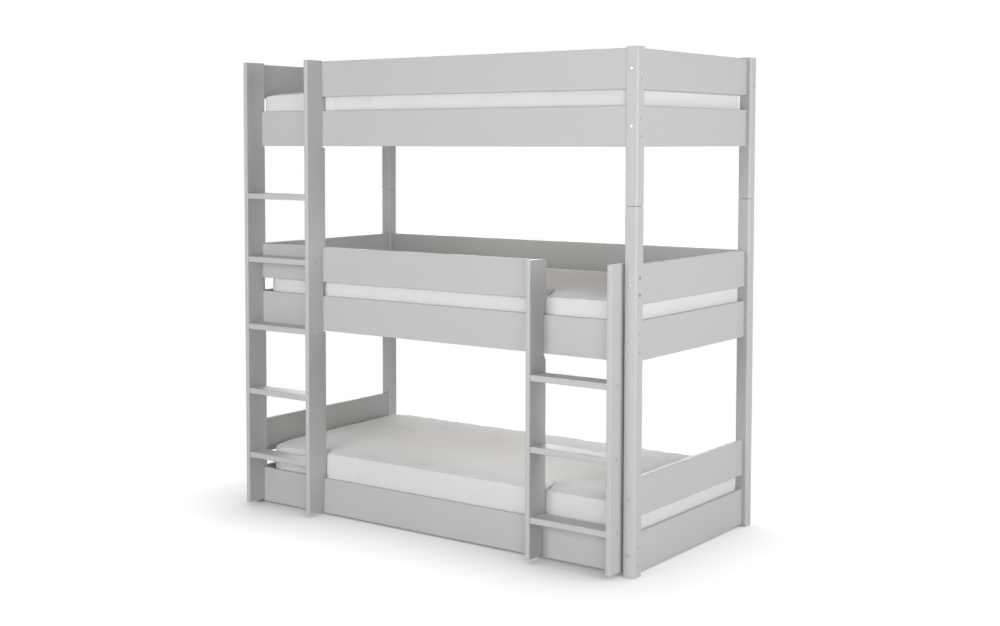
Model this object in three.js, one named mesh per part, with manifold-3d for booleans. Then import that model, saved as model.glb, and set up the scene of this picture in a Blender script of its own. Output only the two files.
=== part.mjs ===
// Triple bunk bed: three single beds between four jointed posts, with a tall ladder
// up to the top bed and a short ladder up to the middle bed.
// Millimetres, +Z up. The origin is on the floor, under the middle of the bed with its
// ladders. +X runs along the bed to the right, seen from the ladders, and +Y to the back.

import * as THREE from 'three';
import { mergeVertices } from 'three/addons/utils/BufferGeometryUtils.js';
import Module from 'manifold-3d';

const wasm = await Module();
wasm.setup();

// Frame
const bedLength = 1980; // over the posts
const bedDepth = 976; // over the posts
const postSide = 52;
const postRound = 7;
const boardHeight = 150; // every rail and guard
const boardThickness = 18;
const boardRound = 3;
const slotHeight = 60; // between a rail and the guard over it
const floorClearance = 9; // under the bottom rails
const tierPitch = 793; // from the rails of one bed to those of the next
const postJointRise = 216; // joint between lower and upper posts, over the middle guards
const postTopRise = 5; // post ends over the top guards
const longBoardRecess = 16; // board face behind the posts' front or rear faces
const endBoardRecess = 19; // board face inside the posts' outer side faces

// Fits
const joinGap = 0.3; // between pieces that touch
const pinGap = 0.35; // around a post pin in its hole, on the radius
const cutOverrun = 2; // how far a cut runs past the face that it opens

// Tenons, pins and bolt holes
const tenonReach = 14; // into the post
const tenonTipGap = 1;
const tenonThickness = 10;
const longTenonHeight = 44;
const endTenonHeight = 100;
const boltRise = 38; // lower bolt of a long board over its bottom edge
const boltSpacing = 65; // between the two bolts of a long board
const boltBore = 4; // radius
const boltHeadRecessRadius = 6.5;
const boltHeadRecessDepth = 5;
const boardBoreDepth = 40; // bolt hole into a board's end
const postPinRadius = 5;
const postPinLength = 100;
const pinTipGap = 1;
const pinSides = 8;
const holeSides = 6;

// Ladders
const ladderWidth = 377; // over the stiles
const ladderReach = 79; // stile fronts before the posts' front faces
const stileThickness = 20;
const stileRound = 4;
const stileFootRise = 18; // stile feet over the floor
const tallStileRise = 3; // tall stiles over the top guards
const shortStileRise = 4; // short stiles over the middle guards
const tallLadderPostGap = 0.5; // between the tall ladder and the left post
const shortLadderPostGap = 6.5; // between the short ladder and the right post
const notchPlay = 6; // under a board in its notch
const notchSlant = 30; // height of the slanted end of the short stiles' notches
const treadDepth = 84;
const treadThickness = 25;
const treadRound = 4;
const treadInset = 5; // tread fronts behind the stile fronts
const treadHousing = 5; // tread ends let into the stiles
const tallTopTreadDrop = 206; // top tread's walking face under the top rails
const tallTreadShares = [0.1764, 0.3816, 0.5875, 0.8006, 1]; // of the top tread's height
const shortTopTreadDrop = 71; // the same under the middle rails
const shortTreadShares = [0.25, 0.6238, 1];

// Decks: slats on ledges
const lowDeckRise = 88; // slat tops over the bottom rails' lower edges
const deckRise = 49; // the same in the middle and top beds
const ledgeHeight = 30;
const ledgeDepth = 22;
const ledgeEndGap = 2;
const slatCount = 12;
const slatWidth = 70;
const slatThickness = 15;
const slatEndGap = 8; // outer slats to the posts
const slatSideGap = 2; // slat ends to the rails
const tapeWidth = 25;
const tapeThickness = 2;
const tapePlaceShare = 0.32; // of the slat length, either side of its middle

// Mattresses
const mattressEndGap = 15; // to the end boards, on average
const mattressSideGap = 8; // to the long boards
const mattressPostGap = 2; // round corner to the post, where it lies nearest
const mattressLeastRound = 30; // corner seen from above
const mattressThickness = 167; // at its edges
const mattressCrown = 20;
const mattressEdgeRound = 12;
const mattressDrawIn = 5; // long and short sides pulled in at their middles
const mattressBulge = 3; // sides swollen out at half height
const crownShares = [0.82, 0.56, 0.28];
const mattressShifts = { bottom: 13, middle: 13, top: 1 }; // along X, as they lie

// Facets of round shapes
const quarterTurn = Math.PI / 2;
const postRoundSteps = 2;
const edgeRoundSteps = 1;
const cornerSteps = 4;
const longSideSteps = 8;
const shortSideSteps = 4;
const mattressEdgeSteps = 2;

// Heights and planes that follow from the sizes above
const guardRise = boardHeight + slotHeight;
const beds = ['bottom', 'middle', 'top'].map((name, tier) => ({
  name,
  railZ: floorClearance + tier * tierPitch,
  guardZ: floorClearance + tier * tierPitch + guardRise,
  guardTop: floorClearance + tier * tierPitch + guardRise + boardHeight,
  deckTop: floorClearance + tier * tierPitch + (tier === 0 ? lowDeckRise : deckRise),
}));
const [bottomBed, middleBed, topBed] = beds;
const postJointZ = middleBed.guardTop + postJointRise;
const postTopZ = topBed.guardTop + postTopRise;
const frontY = (ladderReach - bedDepth) / 2; // the posts' front faces
const rearY = frontY + bedDepth;
const postX = (bedLength - postSide) / 2;
const boardEndX = bedLength / 2 - postSide - joinGap;
const boardEndY = bedDepth / 2 - postSide - joinGap;
const midY = (frontY + rearY) / 2;
const longBoardInset = longBoardRecess + boardThickness / 2; // middle plane behind the post face
const endBoardInset = endBoardRecess + boardThickness / 2;
const longBoardBack = longBoardRecess + boardThickness; // inner face behind the post face
const endBoardBack = endBoardRecess + boardThickness;
const mattressLength = bedLength - 2 * endBoardBack - 2 * mattressEndGap;
const mattressWidth = bedDepth - 2 * longBoardBack - 2 * mattressSideGap;
const mattressCornerRound = Math.max(mattressLeastRound, roundPastPosts());

const tallLadderX = -bedLength / 2 + postSide + tallLadderPostGap + ladderWidth / 2;
const shortLadderX = bedLength / 2 - postSide - shortLadderPostGap - ladderWidth / 2;
const stileX = (ladderWidth - stileThickness) / 2;
const topGuardStartX = tallLadderX + ladderWidth / 2 - stileThickness;
const middleGuardEndX = shortLadderX - ladderWidth / 2 + stileThickness;

// Materials
const lacquer = new THREE.MeshStandardMaterial({ color: 0xc9c9c6, roughness: 0.42, metalness: 0 });
const pine = new THREE.MeshStandardMaterial({ color: 0xd8c29c, roughness: 0.7, metalness: 0 });
const cover = new THREE.MeshStandardMaterial({ color: 0xe6e3de, roughness: 0.9, metalness: 0 });
const steel = new THREE.MeshStandardMaterial({ color: 0x9c9c9a, roughness: 0.35, metalness: 1 });

// Solids
function solid(geometry) {
  const bare = geometry.clone();
  bare.deleteAttribute('normal');
  bare.deleteAttribute('uv');
  const merged = mergeVertices(bare);
  const vertProperties = new Float32Array(merged.attributes.position.array);
  const triVerts = new Uint32Array(merged.index.array);
  return new wasm.Manifold(new wasm.Mesh({ numProp: 3, vertProperties, triVerts }));
}

function geometryOf(body) {
  const mesh = body.getMesh();
  const geometry = new THREE.BufferGeometry();
  geometry.setAttribute('position', new THREE.BufferAttribute(mesh.vertProperties, mesh.numProp));
  geometry.setIndex(new THREE.BufferAttribute(mesh.triVerts, 1));
  geometry.computeVertexNormals();
  return geometry;
}

function shaped(stock, additions, cuts) {
  const joined = additions.reduce((body, piece) => body.add(piece), stock);
  return geometryOf(cuts.reduce((body, cut) => body.subtract(cut), joined));
}

function block(low, high) {
  const size = new THREE.Vector3().subVectors(high, low);
  const middle = new THREE.Vector3().addVectors(low, high).multiplyScalar(0.5);
  const geometry = new THREE.BoxGeometry(size.x, size.y, size.z);
  return solid(geometry.translate(middle.x, middle.y, middle.z));
}

// A straight rod along one axis, from start to end on it, through a point across it.
function rod(axis, start, end, radius, sides, through) {
  const geometry = new THREE.CylinderGeometry(radius, radius, Math.abs(end - start), sides);
  if (axis === 'x') geometry.rotateZ(quarterTurn);
  if (axis === 'z') geometry.rotateX(quarterTurn);
  const middle = through.clone();
  middle[axis] = (start + end) / 2;
  return solid(geometry.translate(middle.x, middle.y, middle.z));
}

function roundedRectangle(width, height, round) {
  const right = width / 2 - round;
  const top = height / 2 - round;
  const shape = new THREE.Shape();
  shape.absarc(right, top, round, 0, quarterTurn);
  shape.absarc(-right, top, round, quarterTurn, 2 * quarterTurn);
  shape.absarc(-right, -top, round, 2 * quarterTurn, 3 * quarterTurn);
  shape.absarc(right, -top, round, 3 * quarterTurn, 4 * quarterTurn);
  return shape;
}

// A bar with rounded long edges that runs up Z from the origin.
function roundedBar(width, height, round, length, curveSegments) {
  const shape = roundedRectangle(width, height, round);
  return new THREE.ExtrudeGeometry(shape, { depth: length, bevelEnabled: false, curveSegments });
}

// The same bar along X, with its width along Y, centred on the axis.
function barAlongX(width, height, round, startX, endX, curveSegments) {
  const turn = new THREE.Matrix4().makeBasis(
    new THREE.Vector3(0, 1, 0), new THREE.Vector3(0, 0, 1), new THREE.Vector3(1, 0, 0));
  const geometry = roundedBar(width, height, round, endX - startX, curveSegments);
  return geometry.applyMatrix4(turn).translate(startX, 0, 0);
}

// The same bar along Y, with its width along X.
function barAlongY(width, height, round, startY, endY, curveSegments) {
  const turn = new THREE.Matrix4().makeBasis(
    new THREE.Vector3(0, 0, 1), new THREE.Vector3(1, 0, 0), new THREE.Vector3(0, 1, 0));
  const geometry = roundedBar(height, width, round, endY - startY, curveSegments);
  return geometry.applyMatrix4(turn).translate(0, startY, 0);
}

function piece(name, geometry, material, x, y, z) {
  const mesh = new THREE.Mesh(geometry, material);
  mesh.name = name;
  mesh.position.set(x, y, z);
  return mesh;
}

// Bolt holes: a recess for the head at the outer face, and a bore on through.
function headRecess(axis, side, through) {
  const face = side * postSide / 2;
  const floor = face - side * boltHeadRecessDepth;
  return rod(axis, floor, face + side * cutOverrun, boltHeadRecessRadius, holeSides, through);
}

function postBore(axis, through) {
  const reach = postSide / 2 + cutOverrun;
  return rod(axis, -reach, reach, boltBore, holeSides, through);
}

// A tenon, or with a clearance its mortise, from start to end along one axis.
function tenon(axis, start, end, height, clearance, through) {
  const half = new THREE.Vector3(1, 1, 0).multiplyScalar(tenonThickness / 2 + clearance);
  half.z = height / 2 + clearance;
  half[axis] = Math.abs(end - start) / 2;
  const middle = through.clone();
  middle[axis] = (start + end) / 2;
  return block(middle.clone().sub(half), middle.clone().add(half));
}

function mortise(axis, side, height, through) {
  const face = -side * postSide / 2;
  const floor = face + side * (tenonReach + tenonTipGap);
  return tenon(axis, floor, face - side * cutOverrun, height, joinGap, through);
}

function pinHole(z, direction) {
  const depth = postPinLength / 2 + pinTipGap;
  const radius = postPinRadius + pinGap;
  const through = new THREE.Vector3();
  return rod('z', z - direction * depth, z + direction * cutOverrun, radius, pinSides, through);
}

const longBoltRises = [boltRise, boltRise + boltSpacing];
const longTenonRise = boltRise + boltSpacing / 2;

// All cuts in a post for one long board, whose lower edge is at z over the post's foot.
function longBoardCuts(corner, z, isUsed) {
  const y = corner.sideY * (postSide / 2 - longBoardInset);
  const at = (rise) => new THREE.Vector3(0, y, z + rise);
  const recesses = longBoltRises.map((rise) => headRecess('x', corner.sideX, at(rise)));
  if (!isUsed) return recesses;
  const bores = longBoltRises.map((rise) => postBore('x', at(rise)));
  return [...recesses, ...bores, mortise('x', corner.sideX, longTenonHeight, at(longTenonRise))];
}

function endBoardCuts(corner, z) {
  const x = corner.sideX * (postSide / 2 - endBoardInset);
  const middle = new THREE.Vector3(x, 0, z + boardHeight / 2);
  return [headRecess('y', corner.sideY, middle), postBore('y', middle),
    mortise('y', corner.sideY, endTenonHeight, middle)];
}

// Front posts hold no guard beside a ladder, though they are marked for one.
function holdsLongGuard(corner, bed) {
  if (corner.sideY > 0) return true;
  return bed === topBed ? corner.sideX > 0 : corner.sideX < 0;
}

function postCuts(corner, footZ, postBeds) {
  return postBeds.flatMap((bed) => {
    const railZ = bed.railZ - footZ;
    const guardZ = bed.guardZ - footZ;
    const longGuard = bed === bottomBed ? []
      : longBoardCuts(corner, guardZ, holdsLongGuard(corner, bed));
    return [...longBoardCuts(corner, railZ, true), ...longGuard,
      ...endBoardCuts(corner, railZ), ...endBoardCuts(corner, guardZ)];
  });
}

function post(name, corner, footZ, topZ, postBeds, pinEnd) {
  const stock = solid(roundedBar(postSide, postSide, postRound, topZ - footZ, postRoundSteps));
  const cuts = [...postCuts(corner, footZ, postBeds), pinEnd];
  const y = corner.sideY > 0 ? rearY - postSide / 2 : frontY + postSide / 2;
  return piece(name, shaped(stock, [], cuts), lacquer, corner.sideX * postX, y, footZ);
}

function postPin(name, lowerPost) {
  const geometry = new THREE.CylinderGeometry(
    postPinRadius, postPinRadius, postPinLength, pinSides);
  geometry.rotateX(quarterTurn);
  return piece(name, geometry, steel, lowerPost.position.x, lowerPost.position.y, postJointZ);
}

function cornerPosts(corner) {
  const lowerTop = postJointZ - joinGap;
  const lower = post(`${corner.name}_lower_post`, corner, 0, lowerTop,
    [bottomBed, middleBed], pinHole(lowerTop, 1));
  const upper = post(`${corner.name}_upper_post`, corner, postJointZ, postTopZ,
    [topBed], pinHole(0, -1));
  return [lower, upper, postPin(`${corner.name}_post_pin`, lower)];
}

const corners = [
  { name: 'front_left', sideX: -1, sideY: -1 },
  { name: 'front_right', sideX: 1, sideY: -1 },
  { name: 'rear_left', sideX: -1, sideY: 1 },
  { name: 'rear_right', sideX: 1, sideY: 1 },
];

// The tenon on a board's end, and the bolt holes into it.
function endFittings(axis, side, end, tenonHeight, tenonRise, boltRises) {
  const at = (rise) => new THREE.Vector3(0, 0, rise - boardHeight / 2);
  const tip = end + side * tenonReach;
  const boreStart = end - side * boardBoreDepth;
  return {
    tenon: tenon(axis, end - side * tenonReach, tip, tenonHeight, 0, at(tenonRise)),
    bores: boltRises.map((rise) =>
      rod(axis, boreStart, tip + side * cutOverrun, boltBore, holeSides, at(rise))),
  };
}

function fittedBoard(bar, fittings) {
  return shaped(solid(bar), fittings.map((fitting) => fitting.tenon),
    fittings.flatMap((fitting) => fitting.bores));
}

// A long board from startX to endX, with tenons on the ends that meet a post.
function longBoard(name, sideY, z, startX, endX) {
  const bar = barAlongX(boardThickness, boardHeight, boardRound, startX, endX, edgeRoundSteps);
  const ends = [[-1, startX], [1, endX]].filter(([, end]) => Math.abs(end) === boardEndX);
  const fittings = ends.map(([side, end]) =>
    endFittings('x', side, end, longTenonHeight, longTenonRise, longBoltRises));
  const y = sideY > 0 ? rearY - longBoardInset : frontY + longBoardInset;
  return piece(name, fittedBoard(bar, fittings), lacquer, 0, y, z + boardHeight / 2);
}

function endBoard(name, sideX, z) {
  const bar = barAlongY(boardThickness, boardHeight, boardRound, -boardEndY, boardEndY,
    edgeRoundSteps);
  const middleRise = boardHeight / 2;
  const fittings = [-1, 1].map((side) =>
    endFittings('y', side, side * boardEndY, endTenonHeight, middleRise, [middleRise]));
  const x = sideX * (bedLength / 2 - endBoardInset);
  return piece(name, fittedBoard(bar, fittings), lacquer, x, midY, z + boardHeight / 2);
}

function frontGuard(bed) {
  const name = `front_${bed.name}_guard`;
  if (bed === topBed) return longBoard(name, -1, bed.guardZ, topGuardStartX, boardEndX);
  return longBoard(name, -1, bed.guardZ, -boardEndX, middleGuardEndX);
}

function bedBoards(bed) {
  const boards = [
    longBoard(`front_${bed.name}_rail`, -1, bed.railZ, -boardEndX, boardEndX),
    longBoard(`rear_${bed.name}_rail`, 1, bed.railZ, -boardEndX, boardEndX),
  ];
  for (const [sideName, sideX] of [['left', -1], ['right', 1]]) {
    boards.push(endBoard(`${sideName}_${bed.name}_rail`, sideX, bed.railZ));
    boards.push(endBoard(`${sideName}_${bed.name}_guard`, sideX, bed.guardZ));
  }
  if (bed === bottomBed) return boards;
  boards.push(frontGuard(bed));
  boards.push(longBoard(`rear_${bed.name}_guard`, 1, bed.guardZ, -boardEndX, boardEndX));
  return boards;
}

// Decks
function ledge(name, sideY, bed) {
  const length = 2 * boardEndX - 2 * ledgeEndGap;
  const faceY = sideY > 0 ? rearY - longBoardBack : frontY + longBoardBack;
  const y = faceY - sideY * (joinGap + ledgeDepth / 2);
  const z = bed.deckTop - slatThickness - joinGap - ledgeHeight / 2;
  const geometry = new THREE.BoxGeometry(length, ledgeDepth, ledgeHeight);
  return piece(name, geometry, lacquer, 0, y, z);
}

// Slats across the bed, held at their places by two tapes under them, as one body.
function slatSet(name, bed) {
  const length = 2 * boardEndX - 2 * slatEndGap;
  const slatLength = bedDepth - 2 * longBoardBack - 2 * slatSideGap;
  const pitch = (length - slatWidth) / (slatCount - 1);
  const slats = Array.from({ length: slatCount }, (_, index) => {
    const startX = -length / 2 + index * pitch;
    return block(new THREE.Vector3(startX, -slatLength / 2, -slatThickness),
      new THREE.Vector3(startX + slatWidth, slatLength / 2, 0));
  });
  const tapes = [-1, 1].map((side) => {
    const y = side * slatLength * tapePlaceShare;
    return block(new THREE.Vector3(-length / 2, y - tapeWidth / 2, -slatThickness - tapeThickness),
      new THREE.Vector3(length / 2, y + tapeWidth / 2, -slatThickness));
  });
  return piece(name, shaped(slats[0], [...slats.slice(1), ...tapes], []), pine, 0, midY,
    bed.deckTop);
}

// Mattresses
function arcPoints(middleX, middleY, radius, startAngle) {
  return Array.from({ length: cornerSteps + 1 }, (_, step) => {
    const angle = startAngle + quarterTurn * step / cornerSteps;
    return [middleX + radius * Math.cos(angle), middleY + radius * Math.sin(angle)];
  });
}

function between(from, to, steps) {
  return Array.from({ length: steps - 1 }, (_, index) => {
    const share = (index + 1) / steps;
    return [from[0] + (to[0] - from[0]) * share, from[1] + (to[1] - from[1]) * share];
  });
}

// The corner radius that keeps the mattress clear of the posts' inner edges, which stand
// inside its end and side planes.
function roundPastPosts() {
  const furthestShift = Math.max(...Object.values(mattressShifts).map(Math.abs));
  const endPast = Math.max(0, mattressLength / 2 + furthestShift - bedLength / 2 + postSide);
  const sidePast = Math.max(0, (mattressWidth - bedDepth) / 2 + postSide);
  const reach = endPast + sidePast + mattressPostGap;
  return reach + Math.sqrt(reach ** 2 - endPast ** 2 - sidePast ** 2 + mattressPostGap ** 2);
}

// The plan outline, moved in by an inset, with its sides drawn in at their middles.
function mattressOutline(inset) {
  const halfLength = mattressLength / 2;
  const halfWidth = mattressWidth / 2;
  const round = mattressCornerRound - inset;
  const x = halfLength - mattressCornerRound;
  const y = halfWidth - mattressCornerRound;
  const arcs = [[x, y], [-x, y], [-x, -y], [x, -y]].map(([cornerX, cornerY], index) =>
    arcPoints(cornerX, cornerY, round, index * quarterTurn));
  const points = arcs.flatMap((arc, index) => {
    const next = arcs[(index + 1) % arcs.length];
    const steps = index % 2 === 0 ? longSideSteps : shortSideSteps;
    return [...arc, ...between(arc[arc.length - 1], next[0], steps)];
  });
  return points.map(([pointX, pointY]) => [
    pointX - mattressDrawIn * Math.cos(quarterTurn * pointY / halfWidth) * pointX / halfLength,
    pointY - mattressDrawIn * Math.cos(quarterTurn * pointX / halfLength) * pointY / halfWidth,
  ]);
}

function ring(inset, z, share = 1) {
  return mattressOutline(inset).map(([x, y]) => [x * share, y * share, z]);
}

function mattressRings() {
  const edgeRings = Array.from({ length: mattressEdgeSteps + 1 }, (_, step) => {
    const angle = quarterTurn * step / mattressEdgeSteps;
    return [mattressEdgeRound * (1 - Math.sin(angle)), mattressEdgeRound * (1 - Math.cos(angle))];
  });
  const lower = edgeRings.map(([inset, rise]) => ring(inset + mattressBulge, rise));
  const upper = edgeRings.map(([inset, rise]) => ring(inset + mattressBulge,
    mattressThickness - rise)).reverse();
  const crown = crownShares.map((share) => ring(mattressEdgeRound + mattressBulge,
    mattressThickness + mattressCrown * (1 - share * share), share));
  return [...lower, ring(0, mattressThickness / 2), ...upper, ...crown];
}

// Faces between rings of points, closed by one middle point below and one above.
function mattressGeometry() {
  const rings = mattressRings();
  const count = rings[0].length;
  const bottomIndex = rings.length * count;
  const positions = [...rings.flat(2), 0, 0, 0, 0, 0, mattressThickness + mattressCrown];
  const faces = [];
  for (let index = 0; index < count; index += 1) {
    const next = (index + 1) % count;
    faces.push(bottomIndex, next, index);
    for (let level = 0; level + 1 < rings.length; level += 1) {
      const low = level * count;
      const high = low + count;
      faces.push(low + index, low + next, high + next, low + index, high + next, high + index);
    }
    const last = (rings.length - 1) * count;
    faces.push(last + index, last + next, bottomIndex + 1);
  }
  const geometry = new THREE.BufferGeometry();
  geometry.setAttribute('position', new THREE.Float32BufferAttribute(positions, 3));
  geometry.setIndex(faces);
  geometry.computeVertexNormals();
  return geometry;
}

function mattress(bed) {
  return piece(`${bed.name}_mattress`, mattressGeometry(), cover, mattressShifts[bed.name], midY,
    bed.deckTop + joinGap);
}

// Ladders, in a frame on the posts' front face at the height of the stile feet
function notchCut(fromZ, toZ) {
  const halfX = stileThickness / 2 + cutOverrun;
  return block(new THREE.Vector3(-halfX, longBoardRecess - joinGap, fromZ - stileFootRise),
    new THREE.Vector3(halfX, longBoardBack + cutOverrun, toZ - stileFootRise));
}

// The slanted lower end of a notch, from its floor out to the stile's back edge.
function slantCut(notchBottomZ) {
  const top = notchBottomZ - stileFootRise;
  const floorY = longBoardRecess - joinGap;
  const backY = longBoardBack + joinGap;
  const slant = new THREE.Shape([
    new THREE.Vector2(floorY, top + cutOverrun),
    new THREE.Vector2(floorY, top),
    new THREE.Vector2(backY, top - notchSlant),
    new THREE.Vector2(backY, top + cutOverrun),
  ]);
  const turn = new THREE.Matrix4().makeBasis(
    new THREE.Vector3(0, 1, 0), new THREE.Vector3(0, 0, 1), new THREE.Vector3(1, 0, 0));
  const width = stileThickness + 2 * cutOverrun;
  const geometry = new THREE.ExtrudeGeometry(slant, { depth: width, bevelEnabled: false });
  return solid(geometry.applyMatrix4(turn).translate(-width / 2, 0, 0));
}

const treadMiddleY = treadInset - ladderReach + treadDepth / 2;

function treadCuts(treadTop, inward) {
  const z = treadTop - stileFootRise - treadThickness / 2;
  const middle = new THREE.Vector3(0, treadMiddleY, z);
  const inner = inward * stileThickness / 2;
  const xs = [inner - inward * treadHousing, inner + inward * cutOverrun];
  const halfY = treadDepth / 2 + joinGap;
  const halfZ = treadThickness / 2 + joinGap;
  const housing = block(
    new THREE.Vector3(Math.min(...xs), treadMiddleY - halfY, z - halfZ),
    new THREE.Vector3(Math.max(...xs), treadMiddleY + halfY, z + halfZ));
  const recess = rod('x', -inner - inward * cutOverrun, -inner + inward * boltHeadRecessDepth,
    boltHeadRecessRadius, holeSides, middle);
  const bore = rod('x', -inner, inner, boltBore, holeSides, middle);
  return [housing, recess, bore];
}

function stile(name, sideX, topZ, treadTops, notches) {
  const stileDepth = ladderReach + longBoardBack;
  const bar = roundedBar(stileThickness, stileDepth, stileRound, topZ - stileFootRise,
    edgeRoundSteps);
  const stock = solid(bar.translate(0, longBoardBack - stileDepth / 2, 0));
  const cuts = [...notches, ...treadTops.flatMap((top) => treadCuts(top, -sideX))];
  return piece(name, shaped(stock, [], cuts), lacquer, sideX * stileX, 0, 0);
}

function tread(name, top) {
  const end = stileX - stileThickness / 2 + treadHousing - joinGap;
  const bar = barAlongX(treadDepth, treadThickness, treadRound, -end, end, edgeRoundSteps);
  const bores = [-1, 1].map((side) => rod('x', side * (end - boardBoreDepth),
    side * (end + cutOverrun), boltBore, holeSides, new THREE.Vector3()));
  return piece(name, shaped(solid(bar), [], bores), lacquer, 0, treadMiddleY,
    top - stileFootRise - treadThickness / 2);
}

function ladder(name, x, topZ, treadTops, leftNotches, rightNotches) {
  const group = new THREE.Group();
  group.position.set(x, frontY, stileFootRise);
  group.add(stile(`${name}_left_stile`, -1, topZ, treadTops, leftNotches));
  group.add(stile(`${name}_right_stile`, 1, topZ, treadTops, rightNotches));
  treadTops.forEach((top, index) => group.add(tread(`${name}_tread_${index + 1}`, top)));
  return group;
}

// The stiles sit over the bottom rail, and their notches take the boards above it.
function tallLadder() {
  const topZ = topBed.guardTop + tallStileRise;
  const notches = () => [
    notchCut(stileFootRise - cutOverrun, bottomBed.railZ + boardHeight + joinGap),
    notchCut(middleBed.railZ - notchPlay, middleBed.guardTop + joinGap),
    notchCut(topBed.railZ - notchPlay, topBed.railZ + boardHeight + joinGap),
  ];
  const guardNotch = notchCut(topBed.guardZ - notchPlay, topZ + cutOverrun);
  const topTread = topBed.railZ - tallTopTreadDrop;
  const treadTops = tallTreadShares.map((share) => share * topTread);
  return ladder('tall_ladder', tallLadderX, topZ, treadTops, notches(),
    [...notches(), guardNotch]);
}

function shortLadder() {
  const topZ = middleBed.guardTop + shortStileRise;
  const notches = () => [
    notchCut(stileFootRise - cutOverrun, bottomBed.railZ + boardHeight + joinGap),
    notchCut(middleBed.railZ - joinGap, topZ + cutOverrun),
    slantCut(middleBed.railZ - joinGap),
  ];
  const topTread = middleBed.railZ - shortTopTreadDrop;
  const treadTops = shortTreadShares.map((share) => share * topTread);
  return ladder('short_ladder', shortLadderX, topZ, treadTops, notches(), notches());
}

// The whole bed
const bed = new THREE.Group();
bed.add(...corners.flatMap(cornerPosts));
for (const tier of beds) {
  bed.add(...bedBoards(tier));
  bed.add(ledge(`front_${tier.name}_ledge`, -1, tier), ledge(`rear_${tier.name}_ledge`, 1, tier));
  bed.add(slatSet(`${tier.name}_slats`, tier), mattress(tier));
}
bed.add(tallLadder(), shortLadder());

export default bed;
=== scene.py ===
"""Triple bunk bed: finished pieces, materials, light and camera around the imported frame.

Metres, +Z up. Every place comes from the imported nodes' boxes, so pieces follow the solids.
"""

import math
from contextlib import contextmanager

import bmesh
import bpy
from bpy.props import FloatProperty, FloatVectorProperty, IntProperty, PointerProperty
from bpy.types import Operator, Panel, PropertyGroup
from mathutils import Matrix, Vector, noise


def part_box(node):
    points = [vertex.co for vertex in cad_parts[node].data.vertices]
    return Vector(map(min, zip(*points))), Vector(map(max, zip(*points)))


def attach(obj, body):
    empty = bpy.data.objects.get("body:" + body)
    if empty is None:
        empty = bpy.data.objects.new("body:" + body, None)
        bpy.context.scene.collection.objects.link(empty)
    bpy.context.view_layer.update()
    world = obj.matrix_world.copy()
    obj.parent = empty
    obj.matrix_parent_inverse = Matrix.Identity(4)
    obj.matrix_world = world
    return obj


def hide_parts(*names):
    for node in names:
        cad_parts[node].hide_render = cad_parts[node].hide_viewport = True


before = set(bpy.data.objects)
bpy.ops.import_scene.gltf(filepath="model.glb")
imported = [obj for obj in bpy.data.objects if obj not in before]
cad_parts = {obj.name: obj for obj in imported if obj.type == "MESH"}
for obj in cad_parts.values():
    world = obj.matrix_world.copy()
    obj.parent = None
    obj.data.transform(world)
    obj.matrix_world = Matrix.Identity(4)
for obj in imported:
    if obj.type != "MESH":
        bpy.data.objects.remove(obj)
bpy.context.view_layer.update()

bl_info = {
    "name": "Triple Bunk Bed",
    "version": (1, 0, 0),
    "blender": (4, 5, 0),
    "location": "View3D > Sidebar > Bunk Bed",
    "description": "Builds a lacquered triple bunk bed with two ladders and three mattresses",
    "category": "Add Mesh",
}

MM = 0.001
X, Y, Z = 0, 1, 2
NEAR = 1e-5  # metres within which two places count as one
STRAIGHT = 0.999  # a normal or an edge this near to an axis counts as along it
SHARP_ANGLE = math.radians(50)  # between faces, from which an edge is eased
SMOOTH_ANGLE = math.radians(40)  # between faces, up to which shading is smooth

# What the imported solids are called
BEDS = ("bottom", "middle", "top")
BOARDS = ("rail", "guard")
FRAME_BODY = "bed_frame"
CORNERS = {
    "front_left": (-1, -1),
    "front_right": (1, -1),
    "rear_left": (-1, 1),
    "rear_right": (1, 1),
}
STOREYS = {"lower": ("bottom", "middle"), "upper": ("top",)}
ROWS = {-1: "front", 1: "rear"}
ENDS = {-1: "left", 1: "right"}
TREAD_COUNTS = {"tall_ladder": 5, "short_ladder": 3}

# Joinery, as in the solids
JOIN_GAP = 0.3 * MM
CUT_OVERRUN = 2 * MM  # of cutters past the face that they cut
LONG_BOLT_RISES = (38 * MM, 103 * MM)  # over the board's foot
BOARD_HEIGHT = 150 * MM
BORE_RADIUS = 4 * MM
RECESS_RADIUS = 6.5 * MM
RECESS_DEPTH = 5 * MM
RECESS_RIM = 0.6 * MM
BOARD_BORE = (40 * MM, 20 * MM)  # into the board's end, and out through its tenon
STILE_BORE_DEPTH = 22 * MM
TENON_THICKNESS = 10 * MM
LONG_TENON = (44 * MM, 70.5 * MM)  # height, and rise of its middle over the board's foot
END_TENON = (100 * MM, 75 * MM)
TENON_TIP_GAP = 1 * MM
TENON_SHOULDER = 0.4 * MM  # inset of the end face before the tenon is drawn out of it
PIN_GAP = 0.35 * MM
JOINT_STEP = 1.3 * MM  # how far a post's rim stays back from the joint plane
JOINT_RIM = 4 * MM  # width of that rim
NOTCH_PLAY = 6 * MM  # under a board in its notch
NOTCH_SLANT = 30 * MM  # fall of the short ladder's upper notch towards the back

# Sides of round pieces and their cutters, and chamfers at the pieces' ends
HOLE_SIDES, BORE_SIDES, BOLT_SIDES, SCREW_SIDES = 28, 16, 24, 20
BOARD_EASE = 0.6 * MM
STILE_EASE = 0.8 * MM
TREAD_EASE = 0.5 * MM

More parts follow.
